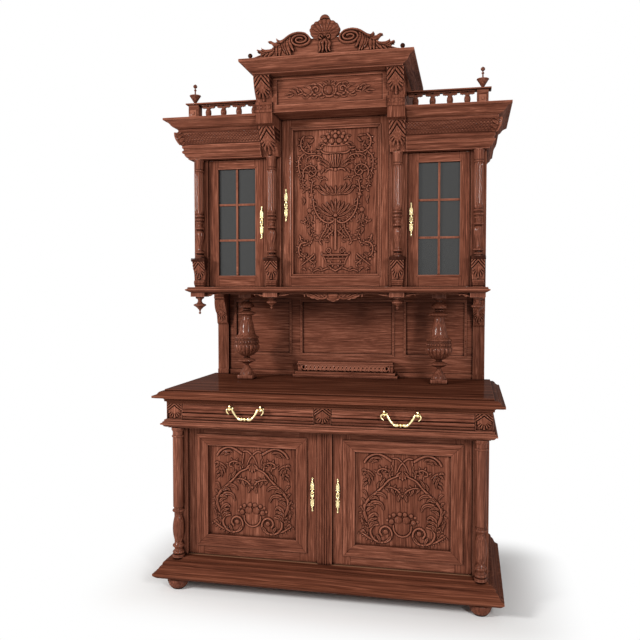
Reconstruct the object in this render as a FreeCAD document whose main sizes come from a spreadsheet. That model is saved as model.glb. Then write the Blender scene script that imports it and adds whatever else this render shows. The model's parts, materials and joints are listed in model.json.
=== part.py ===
import FreeCAD, Part
import math
import os
import Sketcher

# Carved two-part buffet, in millimetres: +X to the right, the front faces -Y, +Z up.
# The origin is on the floor, midway between the sides and between front and back.

Vector = FreeCAD.Vector
doc = FreeCAD.newDocument("buffet")
sheet = doc.addObject("Spreadsheet::Sheet", "Sizes")


class Size:
    """A length that carries its value and its expression in the sheet."""

    def __init__(self, value, text):
        self.value = value
        self.text = text

    def __add__(self, other):
        other = as_size(other)
        return Size(self.value + other.value, f"({self.text} + {other.text})")

    def __sub__(self, other):
        other = as_size(other)
        return Size(self.value - other.value, f"({self.text} - {other.text})")

    def __rsub__(self, other):
        return as_size(other) - self

    def __mul__(self, factor):
        return Size(self.value * factor, f"({self.text} * {factor})")

    def __truediv__(self, factor):
        return Size(self.value / factor, f"({self.text} / {factor})")

    def __neg__(self):
        return Size(-self.value, f"(-{self.text})")

    __radd__ = __add__
    __rmul__ = __mul__


def as_size(number):
    return number if isinstance(number, Size) else Size(float(number), f"({float(number)})")


def cell(alias, value):
    """One driving dimension: a named cell of the sheet."""
    cell.row += 1
    sheet.set(f"A{cell.row}", alias)
    sheet.set(f"B{cell.row}", str(value))
    sheet.setAlias(f"B{cell.row}", alias)
    return Size(float(value), f"Sizes.{alias}")


cell.row = 0

# Driving dimensions. A depth is counted forwards from the flat back.
back = cell("back_y", 350)
plinth_x = cell("plinth_half_width", 752)
plinth_d = cell("plinth_depth", 700)
plinth_low = cell("plinth_underside", 58)
plinth_top = cell("plinth_top", 140)
plinth_ring = cell("plinth_ring_width", 110)
plinth_rail = cell("plinth_rear_rail", 25)
foot_x = cell("foot_centre_x", 660)
foot_front_d = cell("front_foot_depth", 625)
foot_rear_d = cell("rear_foot_depth", 60)

base_x = cell("base_half_width", 690)
board = cell("board_thickness", 22)
back_board = cell("back_board_thickness", 18)
post_in = cell("post_inner_x", 626)
post_front = cell("post_front_depth", 595)
muntin_x = cell("muntin_half_width", 31)
muntin_front = cell("muntin_front_depth", 595)
column_x = cell("base_column_x", 659)
column_d = cell("base_column_depth", 622)

waist_x = cell("waist_half_width", 722)
waist_d = cell("waist_depth", 668)
waist_low = cell("waist_underside", 721)
waist_top = cell("waist_top", 758)
waist_ring = cell("waist_ring_width", 60)
frieze_x = cell("frieze_half_width", 703)
frieze_d = cell("frieze_depth", 640)
frieze_back_d = cell("frieze_block_back_depth", 600)
block_in = cell("outer_block_inner_x", 632)
block_mid = cell("centre_block_half_width", 37)
divider_x = cell("drawer_divider_half_width", 18)
guide_top = cell("drawer_guide_height", 18)
top_x = cell("worktop_half_width", 750)
top_d = cell("worktop_depth", 693)
top_low = cell("worktop_underside", 829)
top_high = cell("worktop_top", 892)
top_ring = cell("worktop_ring_width", 120)

lower_front = cell("lower_door_front_depth", 578)
lower_thick = cell("lower_door_thickness", 32)
door_gap = cell("door_gap_at_sides", 3)
door_clear = cell("door_gap_above_and_below", 2)
lower_panel_in = cell("lower_panel_inner_x", 129)
lower_panel_out = cell("lower_panel_outer_x", 537)
lower_panel_low = cell("lower_panel_bottom", 231)
lower_panel_top = cell("lower_panel_top", 636)
lower_panel_d = cell("lower_panel_front_depth", 568)
panel_thick = cell("panel_thickness", 12)
bolection = cell("lower_moulding_width", 50)

niche_thick = cell("niche_back_thickness", 20)
pilaster_in = cell("pilaster_inner_x", 623)
pilaster_out = cell("pilaster_outer_x", 679)
pilaster_d = cell("pilaster_front_depth", 34)
console_d = cell("console_depth", 92)
vase_x = cell("vase_column_x", 468)
vase_d = cell("vase_column_depth", 207)
step_x = cell("step_shelf_half_width", 238)
step_d = cell("step_shelf_depth", 88)
step_top = cell("step_shelf_top", 970)

floor_x = cell("upper_floor_half_width", 693)
floor_d = cell("upper_floor_depth", 445)
floor_low = cell("upper_floor_underside", 1318)
floor_top = cell("upper_floor_top", 1342)
floor_ring = cell("upper_floor_ring_width", 60)
case_x = cell("upper_case_half_width", 674)
pier_in = cell("outer_pier_inner_x", 608)
mid_pier_out = cell("inner_pier_outer_x", 330)
mid_pier_in = cell("inner_pier_inner_x", 251)
pier_front = cell("pier_front_depth", 366)
eaves = cell("side_bay_top", 1937)
outer_axis = cell("outer_column_x", 641)
inner_axis = cell("inner_column_x", 290)
axis_d = cell("upper_column_depth", 389)
die_top = cell("die_top", 1477)

upper_front = cell("upper_door_front_depth", 352)
upper_thick = cell("upper_door_thickness", 24)
glass_in = cell("glass_inner_x", 378)
glass_out = cell("glass_outer_x", 561)
glass_low = cell("glass_bottom", 1396)
glass_top = cell("glass_top", 1896)
glass_thick = cell("glass_thickness", 4)
bar_width = cell("glazing_bar_width", 8.5)
centre_panel_x = cell("centre_panel_half_width", 197)
centre_panel_low = cell("centre_panel_bottom", 1402)
centre_panel_top = cell("centre_panel_top", 2063)
centre_panel_d = cell("centre_panel_front_depth", 343)
upper_panel_thick = cell("centre_panel_thickness", 10)

cornice_x = cell("side_cornice_half_width", 773)
cornice_d = cell("side_cornice_depth", 498)
cornice_top = cell("side_cornice_top", 2113)
cornice_ring = cell("cornice_ring_width", 125)
soffit_low = cell("centre_soffit_underside", 2112)
soffit_thick = cell("centre_soffit_thickness", 12)
centre_front = cell("centre_frieze_depth", 496)
centre_top = cell("centre_frieze_top", 2266)
corbel_in = cell("corbel_inner_x", 255)
crown_x = cell("centre_cornice_half_width", 375)
crown_d = cell("centre_cornice_depth", 607)
crown_top = cell("centre_cornice_top", 2319)
crown_ring = cell("centre_cornice_ring", 120)
crest_d = cell("crest_front_depth", 602)
crest_thick = cell("crest_thickness", 30)

gallery_d = cell("gallery_front_depth", 410)
gallery_thick = cell("gallery_thickness", 26)
gallery_low = cell("gallery_base_height", 18)
gallery_top = cell("gallery_top", 2192)
gallery_post_in = cell("gallery_post_inner_x", 629)
gallery_post_out = cell("gallery_post_outer_x", 678)
gallery_cap = cell("gallery_cap_thickness", 6)
baluster_pitch = cell("baluster_pitch", 74)

pivot_in = cell("pivot_from_door_edge", 11)
pivot_deep = cell("pivot_behind_door_face", 8)
pin_r = cell("pivot_pin_radius", 4)
pin_length = cell("pivot_pin_length", 14)
pin_clear = cell("pivot_clearance", 0.05)
plate = cell("pivot_plate_thickness", 1.2)

drawer_gap = cell("drawer_front_gap", 3)
drawer_clear = cell("drawer_gap_above_and_below", 2)
drawer_front_thick = cell("drawer_front_thickness", 24)
drawer_set_back = cell("drawer_face_set_back", 4)
drawer_side = cell("drawer_side_thickness", 14)
drawer_bottom = cell("drawer_bottom_thickness", 7)
drawer_back_d = cell("drawer_back_depth", 40)
drawer_mid = cell("drawer_centre_x", 334)
pull_half = cell("pull_post_offset", 69)
pull_z = cell("pull_axis_height", 815)
pull_d = cell("pull_axis_depth", 664)
post_r = cell("pull_post_radius", 7)
bail_r = cell("bail_wire_radius", 4)
bail_pin_r = cell("bail_pin_radius", 2.5)
bail_drop = cell("bail_drop", 42)
bail_foot = cell("bail_foot_half_width", 30)
rose_r = cell("pull_rose_radius", 9.5)

lock_case = cell("lock_case_depth", 12)
lock_width = cell("lock_case_width", 44)
lock_height = cell("lock_case_height", 60)
bolt_thick = cell("lock_bolt_thickness", 6)
bolt_height = cell("lock_bolt_height", 14)
bolt_length = cell("lock_bolt_length", 40)
bolt_clear = cell("lock_bolt_clearance", 0.3)
escutcheon_z = cell("lower_escutcheon_height", 441)
upper_lock_z = cell("upper_escutcheon_height", 1644)
centre_lock_z = cell("centre_escutcheon_height", 1721)
lower_plate_x = cell("lower_escutcheon_x", 56)
side_plate_x = cell("side_escutcheon_x", 347)
centre_plate_x = cell("centre_escutcheon_x", 230)
escutcheon_length = cell("escutcheon_length", 143)
escutcheon_thick = cell("escutcheon_thickness", 3)

lower_shelf_z = cell("lower_shelf_height", 420)
side_shelf_z = cell("side_bay_shelf_height", 1640)
centre_shelf_z = cell("centre_bay_shelf_height", 1735)
lower_shelf_d = cell("lower_shelf_depth", 510)
upper_shelf_d = cell("upper_shelf_depth", 300)
shelf_thick = cell("shelf_thickness", 18)
stile = cell("side_stile_width", 70)
field_sunk = cell("side_field_depth", 6)
doc.recompute()

base_in = base_x - board
case_in = case_x - board


def at_depth(depth):
    """The Y of a depth counted forwards from the back."""
    return back - depth


def depths(rear, front):
    """The Y limits of a piece between two depths."""
    return (at_depth(front), at_depth(rear))


def bind(target, prop, size):
    target.setExpression(prop, as_size(size).text)


def box(name, x, y, z):
    """A plain board between two limits along each axis."""
    made = doc.addObject("Part::Box", name)
    for letter, prop, (low, high) in (("x", "Length", x), ("y", "Width", y), ("z", "Height", z)):
        bind(made, prop, high - low)
        bind(made, f"Placement.Base.{letter}", low)
    return made


def new_body(name, x=0, y=0, z=0):
    made = doc.addObject("PartDesign::Body", name)
    for letter, size in zip("xyz", (x, y, z)):
        bind(made, f"Placement.Base.{letter}", size)
    return made


def draw(sketch, points, closed=True):
    """Lines and arcs through points (x, y) or (x, y, bulge), each corner tied to the sheet.

    The bulge belongs to the run that leaves its point: the tangent of a quarter of the
    arc's angle, positive where the arc turns to the left.
    """
    corners = [(as_size(p[0]), as_size(p[1]), p[2] if len(p) > 2 else 0) for p in points]
    runs = []
    for index in range(len(corners) if closed else len(corners) - 1):
        start_x, start_y, bulge = corners[index]
        end_x, end_y, _ = corners[(index + 1) % len(corners)]
        start = Vector(start_x.value, start_y.value, 0)
        end = Vector(end_x.value, end_y.value, 0)
        if bulge:
            middle = (start + end) * 0.5 + Vector(end.y - start.y, start.x - end.x, 0) * (bulge / 2)
            geo = sketch.addGeometry(Part.Arc(start, middle, end), False)
            sketch.addConstraint(Sketcher.Constraint("Radius", geo, sketch.Geometry[geo].Radius))
            runs.append((geo, 1, 2) if bulge > 0 else (geo, 2, 1))
        else:
            runs.append((sketch.addGeometry(Part.LineSegment(start, end), False), 1, 2))
    for index, (geo, first, last) in enumerate(runs):
        place(sketch, geo, first, corners[index])
        if closed or index + 1 < len(runs):
            following = runs[(index + 1) % len(runs)]
            sketch.addConstraint(Sketcher.Constraint("Coincident", geo, last, following[0], following[1]))
        else:
            place(sketch, geo, last, corners[-1])


def place(sketch, geo, end, corner):
    for kind, size in (("DistanceX", corner[0]), ("DistanceY", corner[1])):
        number = sketch.addConstraint(Sketcher.Constraint(kind, geo, end, size.value))
        if "Sizes" in size.text:
            sketch.renameConstraint(number, f"corner{number}")
            bind(sketch, f"Constraints.corner{number}", size)


def new_sketch(body, name, role, loops, offset=0, closed=True):
    """A sketch on one of the body's own planes, moved along its normal."""
    made = body.newObject("Sketcher::SketchObject", f"{body.Name}_{name}")
    made.AttachmentSupport = [(next(f for f in body.Origin.OriginFeatures if f.Role == role), "")]
    made.MapMode = "FlatFace"
    bind(made, "AttachmentOffset.Base.z", offset)
    for loop in loops:
        draw(made, loop, closed)
    return made


def new_circle(body, name, role, x, y, radius, offset=0):
    """A sketch that holds one circle."""
    made = new_sketch(body, name, role, [], offset)
    centre = Vector(as_size(x).value, as_size(y).value, 0)
    made.addGeometry(Part.Circle(centre, Vector(0, 0, 1), radius.value), False)
    place(made, 0, 3, (as_size(x), as_size(y)))
    number = made.addConstraint(Sketcher.Constraint("Radius", 0, radius.value))
    made.renameConstraint(number, "radius")
    bind(made, "Constraints.radius", radius)
    return made


def rectangle(x, y):
    return [(x[0], y[0]), (x[1], y[0]), (x[1], y[1]), (x[0], y[1])]


def pad(body, name, role, loops, offset, length):
    """Outlines given thickness: along +Z on XY_Plane, -Y on XZ_Plane and +X on YZ_Plane."""
    made = body.newObject("PartDesign::Pad", f"{body.Name}_{name}")
    made.Profile = new_sketch(body, name + "_outline", role, loops, offset)
    bind(made, "Length", length)
    return made


def pocket(body, name, role, loops, offset, length):
    """Outlines cut away, in the direction opposite to a pad's."""
    made = body.newObject("PartDesign::Pocket", f"{body.Name}_{name}")
    made.Profile = new_sketch(body, name + "_outline", role, loops, offset)
    bind(made, "Length", length)
    return made


def front_board(name, loops, rear, front):
    """A board parallel to the front, sawn to an outline of (x, z) points."""
    body = new_body(name)
    pad(body, "board", "XZ_Plane", loops, -at_depth(rear), front - rear)
    return body


def side_board(name, profile, x_low, x_high):
    """A block with a side profile of (depth, z) points, as long as its limits in X."""
    body = new_body(name)
    loop = [(at_depth(p[0]), *p[1:]) for p in profile]
    pad(body, "block", "YZ_Plane", [loop], x_low, x_high - x_low)
    return body


def turn(body, name, profile):
    """A piece turned about the body's vertical axis, from (radius, z) points going up."""
    lowest = profile[0][1]
    highest = profile[-1][1]
    made = body.newObject("PartDesign::Revolution", f"{body.Name}_{name}")
    made.Profile = new_sketch(body, name + "_profile", "XZ_Plane", [profile + [(0, highest), (0, lowest)]])
    made.ReferenceAxis = (made.Profile[0], ["V_Axis"])
    made.Angle = 360
    return made


def turned(name, x, depth, profile):
    body = new_body(name, x, at_depth(depth))
    turn(body, "turning", profile)
    return body


def bead(radius, low, height):
    """A half-round ring of a turning, as far out as its radius."""
    core = radius - BEAD_BULGE * height / 2
    return [(core, low, BEAD_BULGE), (core, low + height)]


def belly(low, middle, high):
    """A swelling of a turning through three (radius, z) points, upright at the middle one."""
    bulges = []
    for start, end in ((low, middle), (middle, high)):
        rise = as_size(end[1]).value - as_size(start[1]).value
        bulges.append(math.tan(math.atan(abs(end[0] - start[0]) / rise) / 2))
    return [(*low, bulges[0]), (*middle, bulges[1]), high]


def symmetric(half):
    """A closed outline from the half on the right, whose last point is next to the middle."""
    bulges = [p[2] if len(p) > 2 else 0 for p in half]
    other = [(-p[0], p[1], b) for p, b in zip(half[::-1], bulges[-2::-1] + [0])]
    return [(p[0], p[1], b) for p, b in zip(half, bulges)] + other


def sweep(body, name, path, profile):
    """A profile carried along a path of straight runs with mitred corners."""
    made = body.newObject("PartDesign::AdditivePipe", f"{body.Name}_{name}")
    made.Profile = profile
    made.Spine = path
    made.Transition = "Right corner"
    return made


def edge_moulding(body, tip_x, tip_d, ring, profile, inner_end=None):
    """The moulded edge round the front and sides, from (in from the tip, z) points.

    With an inner end it goes only along the left side and the front, up to that X.
    """
    side = tip_x - ring
    front = at_depth(tip_d - ring)
    corners = [(-side, back), (-side, front)]
    corners += [(inner_end, front)] if inner_end else [(side, front), (side, back)]
    path = new_sketch(body, "path", "XY_Plane", [corners], 0, closed=False)
    loop = [(p[0] - tip_x, *p[1:]) for p in profile]
    return sweep(body, "moulding", path, new_sketch(body, "profile", "XZ_Plane", [loop], -back))


def moulded_board(name, tip_x, tip_d, ring, low, high, profile):
    """A flat board with a moulded edge on its front and sides."""
    body = new_body(name)
    edge_moulding(body, tip_x, tip_d, ring, profile)
    inside = rectangle((ring - tip_x, tip_x - ring), (at_depth(tip_d - ring), back))
    pad(body, "field", "XY_Plane", [inside], low, high - low)
    return body


def mirrored(name, source):
    made = doc.addObject("Part::Mirroring", name)
    made.Source = source
    made.Normal = Vector(1, 0, 0)
    return made


def group(name, *members):
    made = doc.addObject("Part::Compound", name)
    made.Links = list(members)
    return made


def pair(name, left):
    """A left piece and its mirror image, as two solids of one sub-part."""
    return group(name, left, mirrored(f"{name}_right", left))


subparts = []


def keep(label, made):
    """Names a finished sub-part."""
    made.Label = label
    subparts.append(made)
    return made


def cut(name, base, *tools):
    for number, tool in enumerate(tools):
        made = doc.addObject("Part::Cut", f"{name}_cut{number}")
        made.Base = base
        made.Tool = tool
        base = made
    return base


def fuse(name, base, tool):
    made = doc.addObject("Part::Fuse", name)
    made.Base = base
    made.Tool = tool
    return made


def rod(name, radius, length, axis, x, y, z):
    """A cylinder that starts at a point and goes along one axis."""
    made = doc.addObject("Part::Cylinder", name)
    bind(made, "Radius", radius)
    bind(made, "Height", length)
    made.Placement.Rotation = FreeCAD.Rotation(Vector(0, 0, 1), axis)
    for letter, size in zip("xyz", (x, y, z)):
        bind(made, f"Placement.Base.{letter}", size)
    return made


BEAD_BULGE = 0.9
QUARTER = math.tan(math.pi / 8)
UP = Vector(0, 0, 1)
DOWN = Vector(0, 0, -1)
ALONG_X = Vector(1, 0, 0)
FORWARDS = Vector(0, -1, 0)


# Base

BUN_PROFILE = [(26, 0), (28, 2, 0.16), (45, 30, 0.30), (45, 47, 0.20), (36, 52), (36, plinth_low)]


def make_feet():
    front = turned("foot_front", -foot_x, foot_front_d, BUN_PROFILE)
    rear = turned("foot_rear", -foot_x, foot_rear_d, BUN_PROFILE)
    keep("bun_feet", group("bun_feet", front, rear, mirrored("foot_front_right", front),
                           mirrored("foot_rear_right", rear)))


def make_plinth():
    profile = [
        (plinth_ring, plinth_low), (14, plinth_low), (0, plinth_low + 13), (0, plinth_low + 22),
        (6, plinth_low + 25, 0.25), (20, plinth_low + 38, -0.25), (34, plinth_low + 54),
        (34, plinth_low + 60, -0.35), (50, plinth_low + 71), (50, plinth_low + 73, 0.35),
        (66, plinth_top), (plinth_ring, plinth_top),
    ]
    body = new_body("plinth")
    edge_moulding(body, plinth_x, plinth_d, plinth_ring, profile)
    inner = plinth_x - plinth_ring
    rail = rectangle((-inner, inner), depths(0, plinth_rail))
    pad(body, "rear_rail", "XY_Plane", [rail], plinth_low, plinth_top - board - plinth_low)
    keep("plinth", body)
    keep("base_floor", box("base_floor", (-inner, inner), depths(0, plinth_d - plinth_ring),
                           (plinth_top - board, plinth_top)))


def panelled_side(name, outer, inner, rear, low, high):
    """A side of the case with one sunk field on its outer face."""
    board_piece = box(f"{name}_board", (-outer, -inner), depths(0, rear), (low, high))
    field = box(f"{name}_field", (-outer, field_sunk - outer), depths(stile, rear - stile),
                (low + stile, high - stile))
    return cut(name, board_piece, field)


def make_base_case():
    height = (plinth_top, waist_low)
    rear = lower_front - lower_thick
    side = panelled_side("base_side", base_x, base_in, rear, plinth_top, waist_low)
    frieze = (waist_top, top_low)
    frieze_side = box("frieze_side", (-base_x, -base_in), depths(0, frieze_back_d), frieze)
    divider = box("drawer_divider", (-divider_x, divider_x), depths(back_board, frieze_back_d), frieze)
    guide_z = (waist_top, waist_top + guide_top)
    run = depths(back_board, frieze_back_d)
    outer_guide = box("outer_guide", (-base_in, 1 - block_in), run, guide_z)
    inner_guide = box("inner_guide", (-block_mid - 3, -divider_x), run, guide_z)
    left = [side, frieze_side, outer_guide, inner_guide]
    right = [mirrored(f"{piece.Name}_right", piece) for piece in left]
    keep("base_case", group("base_case", divider, *left, *right))
    post = box("base_post", (-base_x, -post_in), depths(rear, post_front), height)
    keep("base_posts", pair("base_posts", post))


REEDS = 4


def make_muntin():
    rear = at_depth(lower_front - lower_thick)
    face = at_depth(muntin_front - 6)
    reed = muntin_x * (2 / (REEDS + 2))
    outline = [(-muntin_x, rear), (-muntin_x, face)]
    outline += [(reed * (n - REEDS / 2), face, 0.8) for n in range(REEDS)]
    outline += [(reed * (REEDS / 2), face), (muntin_x, face), (muntin_x, rear)]
    body = new_body("base_muntin")
    pad(body, "post", "XY_Plane", [outline], plinth_top, waist_low - plinth_top)
    keep("base_muntin", body)


def make_base_columns():
    foot = plinth_top
    vase = plinth_top + 66
    shaft = plinth_top + 226
    head = waist_low - 47
    profile = [
        (27, foot), (27, foot + 10), *bead(26, foot + 14, 14), (17, foot + 36), *bead(26, foot + 44, 12),
        *belly((15, vase), (25, vase + 62), (14, vase + 124)), *bead(26, vase + 136, 12),
        (19, vase + 154), (22.5, shaft), (22, head), *bead(26, head + 3, 9),
        (22, head + 15), (22, head + 28), (27, head + 36), (27, waist_low),
    ]
    keep("base_columns", pair("base_columns", turned("base_column", -column_x, column_d, profile)))


def make_waist():
    profile = [
        (waist_ring, waist_low), (27, waist_low), (27, waist_low + 4, -0.35), (8, waist_low + 14),
        (0, waist_low + 16), (0, waist_low + 22, 0.4), (8, waist_low + 29), (13, waist_low + 29),
        (13, waist_top), (waist_ring, waist_top),
    ]
    shelf = moulded_board("waist_board", waist_x, waist_d, waist_ring, waist_low, waist_top, profile)
    keep("waist_board", shelf)
    height = (waist_top, top_low)
    outer = box("frieze_block", (-frieze_x, -block_in), depths(frieze_back_d, frieze_d), height)
    middle = box("frieze_block_centre", (-block_mid, block_mid), depths(frieze_back_d, frieze_d), height)
    keep("frieze_blocks", group("frieze_blocks", outer, middle, mirrored("frieze_block_right", outer)))


def make_worktop():
    profile = [
        (top_ring, top_low), (49, top_low), (49, top_low + 7), (41, top_low + 10), (41, top_low + 17, 0.35),
        (12, top_low + 26), (0, top_low + 29), (0, top_low + 38, 0.30), (20, top_low + 48, -0.30),
        (36, top_low + 56), (43, top_low + 56), (43, top_high), (top_ring, top_high),
    ]
    keep("worktop", moulded_board("worktop", top_x, top_d, top_ring, top_low, top_high, profile))


# Niche

def make_niche():
    wide = pilaster_out
    height = (top_high, floor_low)
    panel_low = top_high + 114
    panel_top = floor_low - 49
    fields = [rectangle((x - half, x + half), (panel_low, panel_top))
              for x, half in ((-440, 143), (0, 230), (440, 143))]
    body = new_body("niche_back")
    pad(body, "board", "XZ_Plane", [rectangle((-wide, wide), height)], -back, niche_thick)
    skirting = rectangle((-pilaster_in, pilaster_in), (top_high, top_high + 24))
    pad(body, "skirting", "XZ_Plane", [skirting], -at_depth(niche_thick), as_size(8))
    doc.recompute()
    pocket(body, "fields", "XZ_Plane", fields, -at_depth(niche_thick), as_size(6))
    rims = [rectangle((x - half - out, x + half + out), (panel_low - out, panel_top + out))
            for x, half in ((-440, 143), (0, 230), (440, 143)) for out in (10, 0)]
    pad(body, "rims", "XZ_Plane", rims, -at_depth(niche_thick), as_size(4))
    keep("niche_back", body)

    profile = [
        (niche_thick, top_high), (pilaster_d + 6, top_high), (pilaster_d + 6, top_high + 22),
        (pilaster_d, top_high + 29), (pilaster_d, floor_low - 168), (pilaster_d + 14, floor_low - 158, 0.25),
        (pilaster_d + 24, floor_low - 110, -0.30), (console_d - 4, floor_low - 36),
        (console_d, floor_low - 28), (console_d, floor_low), (niche_thick, floor_low),
    ]
    pilaster = side_board("pilaster", profile, -pilaster_out, -pilaster_in)
    keep("niche_pilasters", pair("niche_pilasters", pilaster))


def square(body, name, half, low, high):
    pad(body, name, "XY_Plane", [rectangle((-half, half), (-half, half))], low, high - low)


def make_vase_columns():
    low = top_high
    profile = [
        (36, low + 19), (34, low + 25, -0.35), (13, low + 62), (10, low + 70), (13, low + 76),
        *bead(43, low + 86, 9),
        (14, low + 104), *belly((14, low + 113), (63, low + 157), (56, low + 171)), (58, low + 173),
        (58, low + 192), (54, low + 195), *bead(59, low + 200, 8), (40, low + 220, -0.15), (28, low + 297),
        (30, low + 312), *bead(44, low + 318, 9), (27, low + 334), (27, low + 342), *bead(34, low + 354, 12),
        (24, low + 378), (28, low + 386), (28, floor_low - 26),
    ]
    body = turned("vase_column", -vase_x, vase_d, profile)
    square(body, "plinth", as_size(38), top_high, top_high + 19)
    square(body, "abacus", as_size(32), floor_low - 26, floor_low)
    keep("vase_columns", pair("vase_columns", body))


ARCHES = 12


def make_step_shelf():
    end = as_size(14)
    lid = as_size(13)
    sill = top_high + 29
    pitch = (step_x - end) * (2 / ARCHES)
    half = pitch * 0.36
    spring = step_top - lid - 19
    arches = []
    for number in range(ARCHES):
        middle = pitch * (number + 0.5 - ARCHES / 2)
        arches.append([(middle - half, sill), (middle + half, sill), (middle + half, spring, QUARTER),
                       (middle, spring + half, QUARTER), (middle - half, spring)])
    body = new_body("step_shelf")
    face = rectangle((-step_x, step_x), (top_high, step_top - lid))
    pad(body, "arcade", "XZ_Plane", [face] + arches, -at_depth(step_d - 18), as_size(10))
    pad(body, "lid", "XZ_Plane", [rectangle((-step_x, step_x), (step_top - lid, step_top))],
        -at_depth(niche_thick + 8), step_d - niche_thick - 8)
    ends = [rectangle((side * step_x - (end if side > 0 else 0), side * step_x + (end if side < 0 else 0)),
                      (top_high, step_top - lid)) for side in (-1, 1)]
    pad(body, "ends", "XZ_Plane", ends, -at_depth(niche_thick + 8), step_d - 18 - niche_thick - 8)
    for name, out, front, low, high in (("foot", 24, 9, 0, 14), ("foot_step", 12, 4, 14, 27)):
        tread = rectangle((-step_x - out, step_x + out), (top_high + low, top_high + high))
        pad(body, name, "XZ_Plane", [tread], -at_depth(niche_thick + 8), step_d + front - niche_thick - 8)
    keep("step_shelf", body)


# Upper case

def make_upper_floor():
    profile = [
        (floor_ring, floor_low), (17, floor_low), (6, floor_low + 6), (0, floor_low + 9),
        (0, floor_low + 15, 0.4), (9, floor_low + 20), (9, floor_top), (floor_ring, floor_top),
    ]
    shelf = moulded_board("upper_floor", floor_x, floor_d, floor_ring, floor_low, floor_top, profile)
    keep("upper_floor", shelf)


def make_pendants():
    block = floor_low - 21
    outer_profile = [
        (2.5, block - 82), *bead(6, block - 80, 8), (3.5, block - 68), (5, block - 62), (16, block - 50),
        *bead(30, block - 43, 8), (14, block - 30), (9, block - 20), (11, block - 12), (20, block - 7),
        (20, block),
    ]
    inner_profile = [
        (2.5, block - 54), *bead(6, block - 52, 8), (4, block - 41), (11, block - 34),
        *bead(24, block - 28, 7), (12, block - 16), (10, block - 11), (18, block - 6), (18, block),
    ]
    outer = turned("pendant_outer", -outer_axis, axis_d, outer_profile)
    square(outer, "block", as_size(33), block, floor_low)
    inner = turned("pendant_inner", -inner_axis, axis_d, inner_profile)
    square(inner, "block", as_size(33), block, floor_low)
    keep("pendants", group("pendants", outer, inner, mirrored("pendant_outer_right", outer),
                           mirrored("pendant_inner_right", inner)))


def make_valance():
    rear = axis_d - 4
    front = axis_d + 6
    edge = inner_axis - 33
    half = [
        (edge, floor_low), (edge, floor_low - 12), (edge - 24, floor_low - 12, 0.08),
        (112, floor_low - 12, -0.5), (84, floor_low - 26, -0.5), (56, floor_low - 26), (42, floor_low - 12),
        (34, floor_low - 18, -0.4), (12, floor_low - 36, -0.5),
    ]
    centre = front_board("valance_centre", [symmetric(half)], rear, front)
    start = outer_axis - 33
    end = inner_axis + 33
    bracket = [(-start, floor_low), (-start, floor_low - 11, 0.5), (30 - start, floor_low - 11),
               (70 - start, floor_low - 7), (-end - 70, floor_low - 7), (-end - 30, floor_low - 11, 0.5),
               (-end, floor_low - 11), (-end, floor_low)]
    side = front_board("valance_side", [bracket], rear, front)
    keep("valance", group("valance", centre, side, mirrored("valance_side_right", side)))


def make_upper_case():
    rear = upper_front - upper_thick
    bay = (floor_top, eaves)
    side = panelled_side("upper_side", case_x, case_in, rear, floor_top, eaves)
    tall = (floor_top, centre_top)
    wall = box("partition_board", (-mid_pier_out, board - mid_pier_out), depths(0, rear), tall)
    strike = box("bolt_strike", (-mid_pier_out, 14 - mid_pier_out), depths(rear - lock_case - 2, rear),
                 (upper_lock_z - 14, upper_lock_z + 14))
    partition = cut("partition", wall, strike)
    roof = box("side_roof", (cornice_ring - cornice_x, -mid_pier_out), depths(back_board, rear),
               (eaves, eaves + back_board))
    left = [side, partition, roof]
    right = [mirrored(f"{piece.Name}_right", piece) for piece in left]
    inside = mid_pier_out - board
    ceiling = box("centre_ceiling", (-inside, inside), depths(back_board, rear),
                  (soffit_low, soffit_low + soffit_thick))
    keep("upper_case", group("upper_case", ceiling, *left, *right))
    outer = box("outer_pier", (-case_x, -pier_in), depths(rear, pier_front), bay)
    inner = box("inner_pier", (-mid_pier_out, -mid_pier_in), depths(rear, pier_front), tall)
    keep("upper_piers", group("upper_piers", outer, inner, mirrored("outer_pier_right", outer),
                              mirrored("inner_pier_right", inner)))


def make_backs():
    lower = box("base_back", (-base_in, base_in), depths(0, back_board), (plinth_top, waist_low))
    frieze = box("frieze_back", (-base_in, base_in), depths(0, back_board), (waist_top, top_low))
    side = box("side_back", (-case_in, -mid_pier_out), depths(0, back_board), (floor_top, eaves))
    inside = mid_pier_out - board
    centre = box("centre_back", (-inside, inside), depths(0, back_board), (floor_top, centre_top))
    cornice = box("cornice_back", (cornice_ring - cornice_x, -mid_pier_out), depths(0, back_board),
                  (eaves, cornice_top - board))
    crown_in = crown_x - crown_ring
    crown = box("crown_back", (-crown_in, crown_in), depths(0, back_board), (centre_top, crown_top - board))
    right = [mirrored("side_back_right", side), mirrored("cornice_back_right", cornice)]
    keep("back_boards", group("back_boards", lower, frieze, centre, crown, side, cornice, *right))


def make_shelves():
    inside = mid_pier_out - board
    lower = box("lower_shelf", (-base_in, base_in), depths(back_board, lower_shelf_d),
                (lower_shelf_z, lower_shelf_z + shelf_thick))
    side = box("side_shelf", (-case_in, -mid_pier_out), depths(back_board, upper_shelf_d),
               (side_shelf_z, side_shelf_z + shelf_thick))
    centre = box("centre_shelf", (-inside, inside), depths(back_board, upper_shelf_d),
                 (centre_shelf_z, centre_shelf_z + shelf_thick))
    keep("shelves", group("shelves", lower, centre, side, mirrored("side_shelf_right", side)))


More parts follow.
